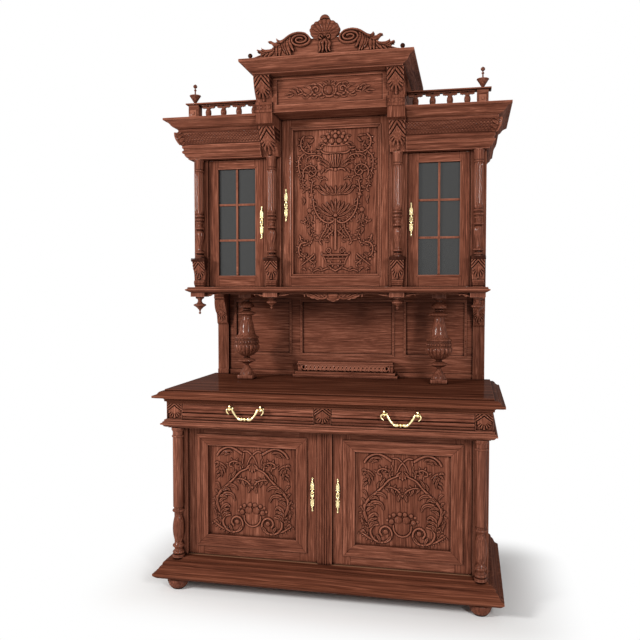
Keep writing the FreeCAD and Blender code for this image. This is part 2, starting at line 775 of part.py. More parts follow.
def make_dies():
    low = floor_top
    cap = die_top - 15
    profile = [
        (pier_front, low), (pier_front + 30, low), (pier_front + 38, low + 14, -0.12),
        (pier_front + 32, low + 60, -0.12), (pier_front + 46, cap - 6), (pier_front + 46, cap),
        (pier_front, cap),
    ]
    made = []
    for name, axis in (("outer_die", outer_axis), ("inner_die", inner_axis)):
        block = side_board(name, profile, -axis - 30, 30 - axis)
        lid = rectangle((-axis - 33, 33 - axis), depths(pier_front, pier_front + 50))
        pad(block, "cap", "XY_Plane", [lid], cap, die_top - cap)
        wedges = []
        for end, side in (("outer", -1), ("inner", 1)):
            taper = [(side * 36 - axis, low - 1), (side * 22 - axis, low - 1), (side * 30 - axis, cap - 30),
                     (side * 36 - axis, cap - 30)]
            wedges.append(front_board(f"{name}_taper_{end}", [taper], pier_front - 1, pier_front + 60))
        block = cut(f"{name}_tapered", block, *wedges)
        made += [block, mirrored(f"{name}_right", block)]
    keep("upper_dies", group("upper_dies", *made))


def make_upper_columns():
    foot = die_top
    vase = die_top + 46
    rings = vase + 92
    shaft = rings + 78
    head = eaves - 45
    profile = [
        (23, foot), (23, foot + 8), *bead(22, foot + 12, 10), (15, foot + 27), *bead(22, foot + 31, 9),
        *belly((13, vase), (21, vase + 42), (13, vase + 86)), *bead(23, rings + 3, 10), (17, rings + 16),
        (17, rings + 26), *bead(22, rings + 29, 9), (18, rings + 41), (18, rings + 52),
        *bead(22.5, rings + 55, 9), (18, rings + 67), (20.5, shaft), (20, head), *bead(23, head + 2, 7),
        (19.5, head + 12), (19.5, head + 28), (23, head + 36), (23, eaves),
    ]
    outer = turned("outer_column", -outer_axis, axis_d, profile)
    inner = turned("inner_column", -inner_axis, axis_d, profile)
    keep("upper_columns", group("upper_columns", outer, inner, mirrored("outer_column_right", outer),
                                mirrored("inner_column_right", inner)))


# Cornices and crest

def make_side_cornices():
    low = eaves
    profile = [
        (cornice_ring, low), (88, low), (88, low + 5, -0.3), (74, low + 22), (66, low + 27),
        (66, low + 36, 0.6), (70, low + 46), (66, low + 50), (66, low + 58), (66, low + 62, -0.22),
        (48, low + 118), (53, low + 122), (53, low + 133), (46, low + 136, -0.2), (25, low + 150, 0.2),
        (6, low + 164), (0, low + 167), (0, cornice_top), (cornice_ring, cornice_top),
    ]
    body = new_body("side_cornice")
    edge_moulding(body, cornice_x, cornice_d, cornice_ring, profile, -mid_pier_out)
    lid = rectangle((cornice_ring - cornice_x, -mid_pier_out), (at_depth(cornice_d - cornice_ring), back))
    pad(body, "lid", "XY_Plane", [lid], cornice_top - board, board)
    keep("side_cornices", pair("side_cornices", body))


BALUSTERS = 4


def make_galleries():
    low = cornice_top
    base = low + gallery_low
    cap_low = gallery_top - gallery_cap
    rail = cap_low - 14
    across = depths(gallery_d - gallery_thick, gallery_d)
    sill = box("gallery_sill", (-gallery_post_in, -mid_pier_out), across, (low, base))
    handrail = box("gallery_rail", (-gallery_post_in, -mid_pier_out), across, (rail, cap_low))
    post = new_body("gallery_post")
    middle = gallery_d - gallery_thick / 2
    half = (gallery_post_out - gallery_post_in) / 2
    shaft = rectangle((-gallery_post_out, -gallery_post_in), depths(middle - half, middle + half))
    pad(post, "shaft", "XY_Plane", [shaft], low, cap_low - low)
    cap_depths = depths(middle - half - 7, middle + half + 7)
    cap = box("gallery_cap", (-gallery_post_out - 12, -mid_pier_out), cap_depths, (cap_low, gallery_top))
    pieces = [sill, handrail, post, cap]
    profile = [(10, base), (10, base + 3), (6, base + 6), *bead(13, base + 8, 16), (6, base + 27),
               (6, rail - 6), (11, rail - 3), (11, rail)]
    for number in range(BALUSTERS):
        x = -mid_pier_out - baluster_pitch * (number + 0.5)
        pieces.append(turned(f"baluster{number}", x, middle, profile))
    right = [mirrored(f"{piece.Name}_right", piece) for piece in pieces]
    keep("galleries", group("galleries", *pieces, *right))

    low = gallery_top
    profile = [(10, low), (10, low + 3), (6, low + 5), (7, low + 9), (24, low + 36), (26, low + 38),
               (26, low + 41), (10, low + 44), (3.5, low + 48), (3, low + 60), *bead(6, low + 61, 9),
               (3, low + 72), *bead(9.5, low + 75, 16), (2, low + 93)]
    urn_x = (gallery_post_in + gallery_post_out) / 2
    keep("urn_finials", pair("urn_finials", turned("urn_finial", -urn_x, middle, profile)))


def make_centre():
    profile = [
        (pier_front, eaves), (pier_front + 38, eaves), (pier_front + 40, eaves + 10, -0.2),
        (cornice_d - 34, eaves + 118), (cornice_d - 34, eaves + 128), (cornice_d + 3, eaves + 129),
        (cornice_d + 3, eaves + 176), (cornice_d + 9, eaves + 177), (cornice_d + 9, eaves + 220),
        (cornice_d + 4, eaves + 222), (cornice_d + 4, eaves + 232, -0.25), (crown_d - 62, centre_top - 12),
        (crown_d - 62, centre_top), (pier_front, centre_top),
    ]
    keep("corbel_blocks", pair("corbel_blocks", side_board("corbel", profile, -mid_pier_out, -corbel_in)))

    frame = rectangle((-corbel_in, corbel_in), (soffit_low, centre_top))
    field = rectangle((20 - corbel_in, corbel_in - 20), (soffit_low + 32, centre_top - 12))
    thick = as_size(22)
    body = new_body("centre_frieze")
    pad(body, "board", "XZ_Plane", [frame], -at_depth(centre_front - thick), thick)
    soffit = rectangle((-mid_pier_in, mid_pier_in), depths(upper_front - upper_thick, centre_front - thick))
    pad(body, "soffit", "XY_Plane", [soffit], soffit_low, soffit_thick)
    doc.recompute()
    pocket(body, "field", "XZ_Plane", [field], -at_depth(centre_front), as_size(9))
    keep("centre_frieze", body)

    profile = [
        (crown_ring, centre_top), (49, centre_top), (49, centre_top + 6), (44, centre_top + 8, -0.22),
        (24, centre_top + 24, 0.22), (6, centre_top + 39), (0, centre_top + 42), (0, crown_top),
        (crown_ring, crown_top),
    ]
    lid = crown_top - board
    crown = moulded_board("centre_cornice", crown_x, crown_d, crown_ring, lid, crown_top, profile)
    keep("centre_cornice", crown)


def make_crest():
    low = crown_top
    half = [
        (318, low), (318, low + 10, 0.25), (297, low + 34, 0.3), (246, low + 69, 0.3),
        (205, low + 74, -0.25), (160, low + 72, 0.5), (113, low + 103, 0.5), (70, low + 78),
        (67, low + 104, 0.3), (32, low + 150, 0.2), (14, low + 160, 0.6),
    ]
    board_piece = front_board("crest_board", [symmetric(half)], crest_d - crest_thick, crest_d)
    profile = [(6, low), (6, low + 3), *bead(10, low + 5.5, 20), (2, low + 26)]
    ball = turned("crest_ball", as_size(-327), crest_d - crest_thick / 2, profile)
    keep("crest", group("crest", board_piece, ball, mirrored("crest_ball_right", ball)))


# Doors, each with its panel, brasses and lock bolt

def pivot_bores(name, frame, x, depth, low, high):
    """Blind bores for the pivot pins in a door's bottom and top edges."""
    deep = pin_length + 1
    y = at_depth(depth)
    bottom = rod(f"{name}_bore_low", pin_r + pin_clear, deep, UP, x, y, low)
    top = rod(f"{name}_bore_high", pin_r + pin_clear, deep, DOWN, x, y, high)
    return cut(name, frame, bottom, top)


def pivots(name, x, depth, low, high):
    """The two fixed pins that a door turns on, each standing on a small plate."""
    y = at_depth(depth)
    made = []
    for end, axis, level, sign in (("low", UP, low, 1), ("high", DOWN, high, -1)):
        limits = (level, level + plate) if sign > 0 else (level - plate, level)
        base = box(f"{name}_plate_{end}", (x - 8, x + 8), (y - 7, y + 7), limits)
        pin = rod(f"{name}_pin_{end}", pin_r, pin_length, axis, x, y, level)
        made.append(fuse(f"{name}_{end}", base, pin))
    return made


def door_frame(name, x, z, opening_x, opening_z, front, thick, ring):
    """A frame round an opening, with a moulding round that from (out from opening, depth) points."""
    middle_x = (opening_x[0] + opening_x[1]) / 2
    middle_z = (opening_z[0] + opening_z[1]) / 2
    half_x = (opening_x[1] - opening_x[0]) / 2
    half_z = (opening_z[1] - opening_z[0]) / 2
    body = new_body(name, middle_x, 0, middle_z)
    outside = rectangle((x[0] - middle_x, x[1] - middle_x), (z[0] - middle_z, z[1] - middle_z))
    opening = rectangle((-half_x, half_x), (-half_z, half_z))
    pad(body, "frame", "XZ_Plane", [outside, opening], -at_depth(front - thick), thick)
    corners = [(-half_x, 0), (-half_x, -half_z), (half_x, -half_z), (half_x, half_z), (-half_x, half_z),
               (-half_x, 0)]
    path = new_sketch(body, "path", "XZ_Plane", [corners], -at_depth(front - thick), closed=False)
    loop = [(-half_x - p[0], at_depth(p[1]), *p[2:]) for p in ring]
    sweep(body, "moulding", path, new_sketch(body, "profile", "XY_Plane", [loop]))
    return body


def escutcheon(name, x, z, front):
    """A long pierced key plate, widest at its middle, with shaped ends."""
    half = escutcheon_length / 2
    outline = [
        (x - 3, z - half, 0.9), (x + 3, z - half), (x + 2, z - half + 12, -0.6), (x + 6, z - half + 24, 0.2),
        (x + 4, z - 22, -0.3), (x + 9, z, -0.3), (x + 4, z + 22, 0.2), (x + 6, z + half - 24, -0.6),
        (x + 2, z + half - 12), (x + 3, z + half, 0.9), (x - 3, z + half), (x - 2, z + half - 12, -0.6),
        (x - 6, z + half - 24, 0.2), (x - 4, z + 22, -0.3), (x - 9, z, -0.3), (x - 4, z - 22, 0.2),
        (x - 6, z - half + 24, -0.6), (x - 2, z - half + 12),
    ]
    return front_board(name, [outline], front, front + escutcheon_thick)


def lock(name, edge, towards, z, rear):
    """A box lock on the inside of a door, and the bolt that slides out past the door's edge."""
    inner = edge - towards * lock_width
    span = (inner, edge) if towards > 0 else (edge, inner)
    case_z = (z - lock_height / 2, z + lock_height / 2)
    case = box(f"{name}_case", span, depths(rear - lock_case, rear), case_z)
    middle = rear - lock_case / 2
    wide = bolt_thick / 2 + bolt_clear
    high = bolt_height / 2 + bolt_clear
    stop = edge - towards * (bolt_length + 2)
    slot_span = (stop, edge) if towards > 0 else (edge, stop)
    slot = box(f"{name}_slot", slot_span, depths(middle - wide, middle + wide), (z - high, z + high))
    tip = edge - towards * 1
    tail = tip - towards * bolt_length
    bolt_span = (tail, tip) if towards > 0 else (tip, tail)
    bolt = box(f"{name}_bolt", bolt_span, depths(middle - bolt_thick / 2, middle + bolt_thick / 2),
               (z - bolt_height / 2, z + bolt_height / 2))
    return cut(f"{name}_body", case, slot), bolt


def keep_door(name, frame, fill_name, fill, brasses, bolt, side=None):
    for suffix, made in (("frame", frame), (fill_name, fill), ("brasses", brasses), ("bolt", bolt)):
        keep(f"{name}_{suffix}", mirrored(f"{name}_{suffix}", made) if side == "right" else made)


def make_lower_doors():
    x = (door_gap - post_in, -muntin_x - door_gap)
    z = (plinth_top + door_clear, waist_low - door_clear)
    opening_x = (-lower_panel_out, -lower_panel_in)
    opening_z = (lower_panel_low, lower_panel_top)
    rear = lower_front - lower_thick
    ring = [
        (0, lower_panel_d - 8), (0, lower_panel_d + 4), (8, lower_panel_d + 8, 0.3), (24, lower_front + 2),
        (28, lower_front + 2), (30, lower_front + 4, -0.3), (40, lower_front + 9), (46, lower_front + 9, 0.4),
        (bolection, lower_front + 5), (bolection, rear + 6),
    ]
    frame = door_frame("lower_door_left_wood", x, z, opening_x, opening_z, lower_front, lower_thick, ring)
    pivot_x = x[0] + pivot_in
    pivot_d = lower_front - pivot_deep
    frame = pivot_bores("lower_door_bored", frame, pivot_x, pivot_d, z[0], z[1])
    panel = box("lower_panel", opening_x, depths(lower_panel_d - panel_thick, lower_panel_d), opening_z)
    case, bolt = lock("lower_lock", x[1], 1, escutcheon_z, rear)
    plate_piece = escutcheon("lower_escutcheon", -lower_plate_x, escutcheon_z, lower_front)
    brasses = group("lower_brasses", plate_piece, case)
    keep_door("lower_door_left", frame, "panel", panel, brasses, bolt)
    keep_door("lower_door_right", frame, "panel", panel, brasses, bolt, "right")
    return pivots("lower_pivot", pivot_x, pivot_d, plinth_top, waist_low)


LIGHTS_HIGH = 3


def make_side_doors():
    x = (door_gap - pier_in, -mid_pier_out - door_gap)
    z = (floor_top + door_clear, eaves - door_clear)
    opening_x = (-glass_out, -glass_in)
    opening_z = (glass_low, glass_top)
    rear = upper_front - upper_thick
    pane = rear + 4
    ring = [(0, rear + 2), (0, upper_front - 5), (6, upper_front - 1, 0.3), (10, upper_front), (10, rear + 2)]
    frame = door_frame("side_door_left_wood", x, z, opening_x, opening_z, upper_front, upper_thick, ring)
    half_x = (glass_out - glass_in) / 2
    half_z = (glass_top - glass_low) / 2
    upright = rectangle((bar_width / -2, bar_width / 2), (-half_z, half_z))
    pad(frame, "upright_bar", "XZ_Plane", [upright], -at_depth(pane + glass_thick), as_size(10))
    light = half_z * (2 / LIGHTS_HIGH)
    levels = [light * n - half_z for n in range(1, LIGHTS_HIGH)]
    bars = [rectangle((-half_x, half_x), (z_bar - bar_width / 2, z_bar + bar_width / 2)) for z_bar in levels]
    pad(frame, "cross_bars", "XZ_Plane", bars, -at_depth(pane + glass_thick), as_size(9))
    pivot_x = x[0] + pivot_in
    pivot_d = upper_front - pivot_deep
    frame = pivot_bores("side_door_bored", frame, pivot_x, pivot_d, z[0], z[1])
    glass = box("side_glass", opening_x, depths(pane, pane + glass_thick), opening_z)
    case, bolt = lock("side_lock", x[1], 1, upper_lock_z, rear)
    plate_piece = escutcheon("side_escutcheon", -side_plate_x, upper_lock_z, upper_front)
    brasses = group("side_brasses", plate_piece, case)
    keep_door("side_door_left", frame, "glass", glass, brasses, bolt)
    keep_door("side_door_right", frame, "glass", glass, brasses, bolt, "right")
    return pivots("side_pivot", pivot_x, pivot_d, floor_top, eaves)


def make_centre_door():
    x = (door_gap - mid_pier_in, mid_pier_in - door_gap)
    z = (floor_top + door_clear, soffit_low - door_clear)
    opening_x = (-centre_panel_x, centre_panel_x)
    opening_z = (centre_panel_low, centre_panel_top)
    rear = upper_front - upper_thick
    ring = [(0, rear + 2), (0, upper_front - 8), (7, upper_front - 4, 0.3), (10, upper_front + 3),
            (14, upper_front + 2), (14, rear + 2)]
    frame = door_frame("centre_door_wood", x, z, opening_x, opening_z, upper_front, upper_thick, ring)
    pivot_x = x[1] - pivot_in
    pivot_d = upper_front - pivot_deep
    frame = pivot_bores("centre_door_bored", frame, pivot_x, pivot_d, z[0], z[1])
    panel_y = depths(centre_panel_d - upper_panel_thick, centre_panel_d)
    panel = box("centre_panel", opening_x, panel_y, opening_z)
    case, bolt = lock("centre_lock", x[0], -1, centre_lock_z, rear)
    plate_piece = escutcheon("centre_escutcheon", -centre_plate_x, centre_lock_z, upper_front)
    brasses = group("centre_brasses", plate_piece, case)
    keep_door("centre_door", frame, "panel", panel, brasses, bolt)
    return pivots("centre_pivot", pivot_x, pivot_d, floor_top, soffit_low)


def make_doors():
    left = make_lower_doors() + make_side_doors()
    centre = make_centre_door()
    right = [mirrored(f"{piece.Name}_right", piece) for piece in left]
    keep("pivot_pins", group("pivot_pins", *left, *right, *centre))


# Drawers with their drop handles

def make_drawers():
    left_x = drawer_gap - block_in
    right_x = -block_mid - drawer_gap
    low = waist_top + drawer_clear
    high = top_low - drawer_clear
    rear = frieze_d - drawer_front_thick
    face = frieze_d - drawer_set_back
    profile = [
        (rear, low), (face, low), (face, low + 8), (face - 3, low + 10), (face - 1, low + 12, -0.3),
        (face + 3, low + 26), (face - 3, low + 28), (face - 1, low + 30, -0.4), (face + 4, low + 37, -0.4),
        (face - 1, low + 43), (face, low + 45), (face, high), (rear, high),
    ]
    front = side_board("drawer_front", profile, left_x, right_x)
    out_x = left_x + 1
    in_x = right_x - 3
    side_z = (low, high - 5)
    side_y = depths(drawer_back_d, rear)
    outer = box("drawer_outer_side", (out_x, out_x + drawer_side), side_y, side_z)
    inner = box("drawer_inner_side", (in_x - drawer_side, in_x), side_y, side_z)
    between = (out_x + drawer_side, in_x - drawer_side)
    tail = box("drawer_back", between, depths(drawer_back_d, drawer_back_d + drawer_side), side_z)
    floor_board = box("drawer_bottom", between, depths(drawer_back_d + drawer_side, rear),
                      (low + 4, low + 4 + drawer_bottom))
    tray = group("drawer_tray", outer, inner, tail, floor_board)

    posts = []
    for name, side in (("outer", -1), ("inner", 1)):
        x = pull_half * side - drawer_mid
        y = at_depth(face)
        stem = rod(f"pull_stem_{name}", post_r, pull_d - face + 8, FORWARDS, x, y, pull_z)
        rose = rod(f"pull_rose_{name}", rose_r, as_size(3), FORWARDS, x, y, pull_z)
        eye = rod(f"pull_eye_{name}", bail_pin_r + pin_clear, post_r * 4, ALONG_X, x - post_r * 2,
                  at_depth(pull_d), pull_z)
        posts.append(cut(f"pull_post_{name}", fuse(f"pull_{name}", rose, stem), eye))
    pulls = group("drawer_pulls", *posts)

    bail = new_body("bail", -drawer_mid, at_depth(pull_d), pull_z)
    hip = pull_half - post_r - bail_r - 1
    right_half = [(bail_foot, -bail_drop), (bail_foot + 7, 7 - bail_drop), (hip, -6), (hip, bail_r)]
    corners = [(-p[0], p[1]) for p in right_half[::-1]] + right_half
    path = new_sketch(bail, "path", "XZ_Plane", [corners], 0, closed=False)
    sweep(bail, "loop", path, new_circle(bail, "wire", "XY_Plane", -hip, 0, bail_r, bail_r))
    reach = post_r * 2 + bail_r
    for name, start in (("outer", -hip - reach), ("inner", hip)):
        pin = bail.newObject("PartDesign::Pad", f"bail_pin_{name}")
        pin.Profile = new_circle(bail, f"pin_{name}", "YZ_Plane", 0, 0, bail_pin_r, start)
        bind(pin, "Length", reach)
    for side in ("left", "right"):
        for suffix, made in (("front", front), ("box", tray), ("posts", pulls), ("bail", bail)):
            name = f"drawer_{side}_{suffix}"
            keep(name, mirrored(name, made) if side == "right" else made)


for step in (make_feet, make_plinth, make_base_case, make_muntin, make_base_columns, make_waist, make_worktop,
             make_niche, make_vase_columns, make_step_shelf, make_upper_floor, make_pendants, make_valance,
             make_upper_case, make_backs, make_shelves, make_dies, make_upper_columns, make_side_cornices,
             make_galleries, make_centre, make_crest, make_doors, make_drawers):
    step()
doc.recompute()

for thing in doc.Objects:
    if "Invalid" in thing.State or "Error" in thing.State:
        raise RuntimeError(f"{thing.Name} failed: {thing.State}")
for made in subparts:
    if made.Shape.isNull() or not made.Shape.isValid():
        raise RuntimeError(f"{made.Label} has no valid shape")

os.makedirs("parts", exist_ok=True)
for made in subparts:
    made.Shape.exportStep(f"parts/{made.Label}.step")
    print(made.Label, len(made.Shape.Solids), "solids", round(made.Shape.Volume / 1000), "cm3")
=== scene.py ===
"""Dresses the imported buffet: walnut grain, carved panels, fluted and lobed turnings, brass and glass."""

import json
import math

import bmesh
import bpy
import numpy as np
from mathutils import Matrix, Vector


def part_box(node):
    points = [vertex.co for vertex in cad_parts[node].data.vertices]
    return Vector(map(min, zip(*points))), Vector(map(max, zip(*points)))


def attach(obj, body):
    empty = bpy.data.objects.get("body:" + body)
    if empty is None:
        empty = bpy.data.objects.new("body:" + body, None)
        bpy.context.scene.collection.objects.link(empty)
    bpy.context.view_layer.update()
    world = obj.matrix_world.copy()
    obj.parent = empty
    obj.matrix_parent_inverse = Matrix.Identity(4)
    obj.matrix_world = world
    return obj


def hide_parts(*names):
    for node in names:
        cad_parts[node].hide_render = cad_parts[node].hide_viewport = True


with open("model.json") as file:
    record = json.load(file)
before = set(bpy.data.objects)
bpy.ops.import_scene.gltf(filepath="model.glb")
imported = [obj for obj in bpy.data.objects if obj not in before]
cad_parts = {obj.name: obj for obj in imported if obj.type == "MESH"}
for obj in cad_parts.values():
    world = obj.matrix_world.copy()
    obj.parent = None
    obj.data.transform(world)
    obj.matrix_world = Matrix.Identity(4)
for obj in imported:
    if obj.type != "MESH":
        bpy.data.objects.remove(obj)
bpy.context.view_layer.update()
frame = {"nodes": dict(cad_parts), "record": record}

bl_info = {
    "name": "Carved buffet dressing",
    "version": (1, 0, 0),
    "blender": (4, 5, 0),
    "location": "View3D > Sidebar > Buffet",
    "description": "Finishes, carving, turnings and brasses for the carved buffet cabinet",
    "category": "Object",
}

SIDES = (-1, 1)

# Pieces are drawn in millimetres, with depths that run forwards from the back face
MM = 0.001
BACK_Y = 350.0

# How the leaf blocks are carved: grid spacing in millimetres, and shading for each millimetre of height
LEAF_GRID = {"pitch": 1.3, "shade": 0.12}

# Radius at which the ends of turned pieces close, in millimetres
TIP = 0.05

# Width of the trench that parts a carved form from what lies behind it, in millimetres
TRENCH = 2.2

# Middles of the right-hand upper columns and their dies, their depth, and that of the upper case's front
COLUMN_X = (641, 290)
COLUMN_DEPTH = 389
CASE_FRONT = 366

# Middle of the right-hand vase column, across and in depth
VASE_X = 468
VASE_DEPTH = 207


# Sizes and colours that a user would change

def colour_setting(label, note, default):
    """A colour that a user can change."""
    return bpy.props.FloatVectorProperty(
        name=label, description=note, subtype="COLOR", size=3, min=0.0, max=1.0, default=default)


def length_setting(label, note, low, high, default):
    """A length in metres that a user can change."""
    return bpy.props.FloatProperty(
        name=label, description=note, unit="LENGTH", min=low, max=high, default=default)


class BuffetFinishes(bpy.types.PropertyGroup):
    """Colours and sheen of the woods, metals and glass."""

    # Walnut light also colours the painted highlights, and walnut dark, darkened further, the painted shade
    # with grime
    walnut_light: colour_setting("Walnut light", "Pale streaks of the waxed walnut", (0.305, 0.115, 0.071))
    walnut_middle: colour_setting("Walnut middle", "Ground of the waxed walnut", (0.138, 0.045, 0.026))
    walnut_dark: colour_setting("Walnut dark", "Dark streaks of the waxed walnut", (0.036, 0.010, 0.006))
    raw_light: colour_setting("Inside light", "Pale streaks of the bare boards", (0.340, 0.175, 0.100))
    raw_dark: colour_setting("Inside dark", "Dark streaks of the bare boards", (0.150, 0.066, 0.036))
    brass: colour_setting("Brass", "Polished brass", (0.970, 0.800, 0.430))
    brass_dull: colour_setting("Brass dull", "Tarnish in the recesses of the brass", (0.330, 0.200, 0.070))
    steel: colour_setting("Steel", "Lock bolts and pivot pins", (0.480, 0.470, 0.450))
    steel_dull: colour_setting("Steel dull", "Duller spots on the steel", (0.16, 0.13, 0.11))
    # The glass colour is mostly painted shade: a dark, near-opaque pane stands in for the shaded inside
    # seen through it
    glass: colour_setting("Glass", "Smoky tint of the old panes", (0.030, 0.030, 0.029))
    wax: bpy.props.FloatProperty(
        name="Wax sheen", description="Strength of the wax coat over the walnut", subtype="FACTOR",
        min=0.0, max=1.0, default=0.04)
    polish: bpy.props.FloatProperty(
        name="Turned polish", description="Strength of the polish on the turned pieces", subtype="FACTOR",
        min=0.0, max=1.0, default=0.15)


class BuffetCarving(bpy.types.PropertyGroup):
    """Depths and fineness of the carving."""

    panel_depth: length_setting("Panel relief", "Depth of the carved door panels", 0.002, 0.0095, 0.0085)
    leaf_depth: length_setting("Leaf relief", "Height of the leaves on blocks", 0.002, 0.012, 0.009)
    pitch: length_setting("Carving pitch", "Grid spacing of the carved faces", 0.001, 0.005, 0.0016)
    flute_depth: length_setting("Flute depth", "Depth of the columns' flutes", 0.0005, 0.006, 0.0040)
    flutes: bpy.props.IntProperty(
        name="Flutes", description="Flutes round an upper column", min=6, max=24, default=10)
    gadroons: bpy.props.IntProperty(
        name="Gadroons", description="Lobes round the bowl of a vase column", min=8, max=30, default=18)


class BuffetStage(bpy.types.PropertyGroup):
    """Camera, floor and lights."""

    eye: bpy.props.FloatVectorProperty(
        name="Camera place", description="Where the camera stands", subtype="TRANSLATION", unit="LENGTH",
        size=3, default=(0.6034, -3.2341, 1.3275))
    turn: bpy.props.FloatProperty(
        name="Camera turn", description="Turn to the left of straight ahead", subtype="ANGLE",
        default=math.radians(11.759))
    tilt: bpy.props.FloatProperty(
        name="Camera tilt", description="Tilt below the level", subtype="ANGLE",
        default=math.radians(2.378))
    lens: bpy.props.FloatProperty(
        name="Lens", description="Focal length on a 36 mm sensor", unit="CAMERA", default=40.26)
    floor: colour_setting("Floor", "Colour of the studio floor", (0.84, 0.835, 0.825))
    sky: bpy.props.FloatProperty(
        name="Room light", description="Light from all round", min=0.0, max=2.0, default=0.40)
    key: bpy.props.FloatProperty(
        name="Key light", description="Power of the large soft light, in watts", min=0.0, default=164.0)
    fill: bpy.props.FloatProperty(
        name="Fill light", description="Power of the second soft light, in watts", min=0.0, default=95.0)


def finishes():
    """The colours and sheen that are set now."""
    return bpy.context.scene.buffet_finishes


def carving():
    """The depths and fineness of carving that are set now."""
    return bpy.context.scene.buffet_carving


def rgba(colour):
    """A colour with full cover."""
    return (colour[0], colour[1], colour[2], 1.0)


def node_box(name):
    """Lowest and highest corner of a CAD node in millimetres."""
    low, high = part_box(name)
    return [v / MM for v in low], [v / MM for v in high]


# Carving: height fields in millimetres

def smooth_path(points, steps=8):
    """Points along a smooth curve through the given ones."""
    p = np.asarray(points, float)
    p = np.vstack([2 * p[0] - p[1], p, 2 * p[-1] - p[-2]])
    t = np.linspace(0.0, 1.0, steps, endpoint=False)[:, None]
    runs = []
    for a, b, c, d in zip(p, p[1:], p[2:], p[3:]):
        runs.append(0.5 * (2 * b + (c - a) * t + (2 * a - 5 * b + 4 * c - d) * t ** 2
                           + (3 * b - a - 3 * c + d) * t ** 3))
    runs.append(p[-2:-1])
    return np.vstack(runs)


def between(ends, along):
    """A value that runs from its first to its second end along a path."""
    if np.isscalar(ends):
        return np.full_like(along, float(ends))
    return ends[0] + (ends[1] - ends[0]) * along


class Carving:
    """A carved field: where its points are, and how far each stands proud, in millimetres."""

    def __init__(self, across, up, mirrored=True):
        self.across = np.abs(across) if mirrored else across
        self.up = up
        self.proud = np.zeros(len(across))

    def lift(self, near, rise):
        """Raises the named points to a height, where they are lower."""
        self.proud[near] = np.maximum(self.proud[near], rise)

    def part(self, near, share, off, edge, trench):
        """Cuts a narrow trench round a form, so that it parts from what lies behind it."""
        beside = (share >= 1.0) & (off < edge + trench)
        self.proud[near[beside]] *= 0.35

    def beside(self, path, reach):
        """Field points near a path: their index, place along it from 0 to 1, and distance off it."""
        line = smooth_path(path)
        low = line.min(0) - reach
        high = line.max(0) + reach
        near = np.flatnonzero((self.across > low[0]) & (self.across < high[0])
                              & (self.up > low[1]) & (self.up < high[1]))
        x = self.across[near]
        y = self.up[near]
        step = np.diff(line, axis=0)
        length = np.maximum(np.hypot(step[:, 0], step[:, 1]), 1e-9)
        done = np.concatenate([[0.0], np.cumsum(length)])
        off = np.full(len(near), 1e9)
        along = np.zeros(len(near))
        for start, run, long, before in zip(line, step, length, done):
            part = np.clip(((x - start[0]) * run[0] + (y - start[1]) * run[1]) / long ** 2, 0.0, 1.0)
            gap = np.hypot(x - start[0] - part * run[0], y - start[1] - part * run[1])
            closer = gap < off
            off[closer] = gap[closer]
            along[closer] = (before + part[closer] * long) / done[-1]
        return near, along, off

    def stem(self, path, wide, proud, trench=TRENCH):
        """A rounded stem; its half width and height may taper from start to end."""
        near, along, off = self.beside(path, np.max(wide) + 3.0)
        edge = between(wide, along)
        share = off / edge
        self.part(near, share, off, edge, trench)
        rise = between(proud, along) * np.clip(1.0 - share ** 2.5, 0.0, 1.0) ** 0.6
        self.lift(near, rise)

    def blade(self, path, wide, proud, gouge=0.5, trench=TRENCH):
        """A leaf that swells soon after its start and runs to a point, gouged along its middle."""
        near, along, off = self.beside(path, wide + 3.0)
        swell = np.minimum(1.0, 0.45 + 2.2 * along)
        edge = np.maximum(wide * swell * np.clip(1.0 - along, 0.0, 1.0) ** 0.5, 0.05)
        share = off / edge
        self.part(near, share, off, edge, trench)
        hollow = 1.0 - gouge * np.exp(-(share / 0.34) ** 2)
        rise = proud * (0.75 + 0.25 * along) * np.clip(1.0 - share ** 3, 0.0, 1.0) ** 0.6 * hollow
        self.lift(near, rise)

    def fringe(self, path, every, long, wide, proud):
        """Small leaves set by turns along both sides of a stem."""
        line = smooth_path(path)
        done = run_length(line)
        for number, run in enumerate(np.arange(0.5 * every, done[-1], every)):
            spot, ahead, behind = ([np.interp(run + step, done, line[:, k]) for k in (0, 1)]
                                   for step in (0.0, 2.0, -2.0))
            heading = math.atan2(ahead[1] - behind[1], ahead[0] - behind[0])
            side = 1 if number % 2 else -1
            leaf = []
            for reach, turn in ((0.0, 0.0), (0.55 * long, 0.65), (long, 1.05)):
                angle = heading + side * turn
                leaf.append((spot[0] + reach * math.cos(angle), spot[1] + reach * math.sin(angle)))
            self.blade(leaf, wide, proud, gouge=0.3, trench=1.0)

    def drop(self, path, wide, proud):
        """A petal that starts narrow and swells towards its end."""
        near, along, off = self.beside(path, wide)
        swell = np.sin(np.pi * np.clip(along, 0.0, 1.0) ** 1.7 * 0.97 + 0.05) ** 0.7
        edge = np.maximum(wide * swell, 0.05)
        share = off / edge
        rise = proud * (0.55 + 0.45 * along) * np.sqrt(np.clip(1.0 - share ** 2, 0.0, 1.0))
        self.lift(near, rise)

    def ball(self, x, y, radius, proud, tall=None):
        """A round or oval boss."""
        share = np.hypot((self.across - abs(x)) / radius, (self.up - y) / (tall or radius))
        near = np.flatnonzero(share < 1.0)
        self.lift(near, proud * np.sqrt(1.0 - share[near] ** 2))

    def bowl(self, low, high, half_low, half_high, proud, lobes):
        """A gadrooned cup about the middle line."""
        t = (self.up - low) / (high - low)
        half = half_low + (half_high - half_low) * np.sin(np.clip(t, 0.0, 1.0) * np.pi / 2)
        share = self.across / half
        near = np.flatnonzero((t > 0.0) & (t < 1.0) & (share < 1.0))
        rib = 0.30 + 0.70 * np.abs(np.cos(lobes * np.arcsin(share[near])))
        self.proud[(t > -0.06) & (t < 1.06) & (share < 1.12)] = 0.0
        self.lift(near, proud * rib * (1.0 - share[near] ** 4) ** 0.5)


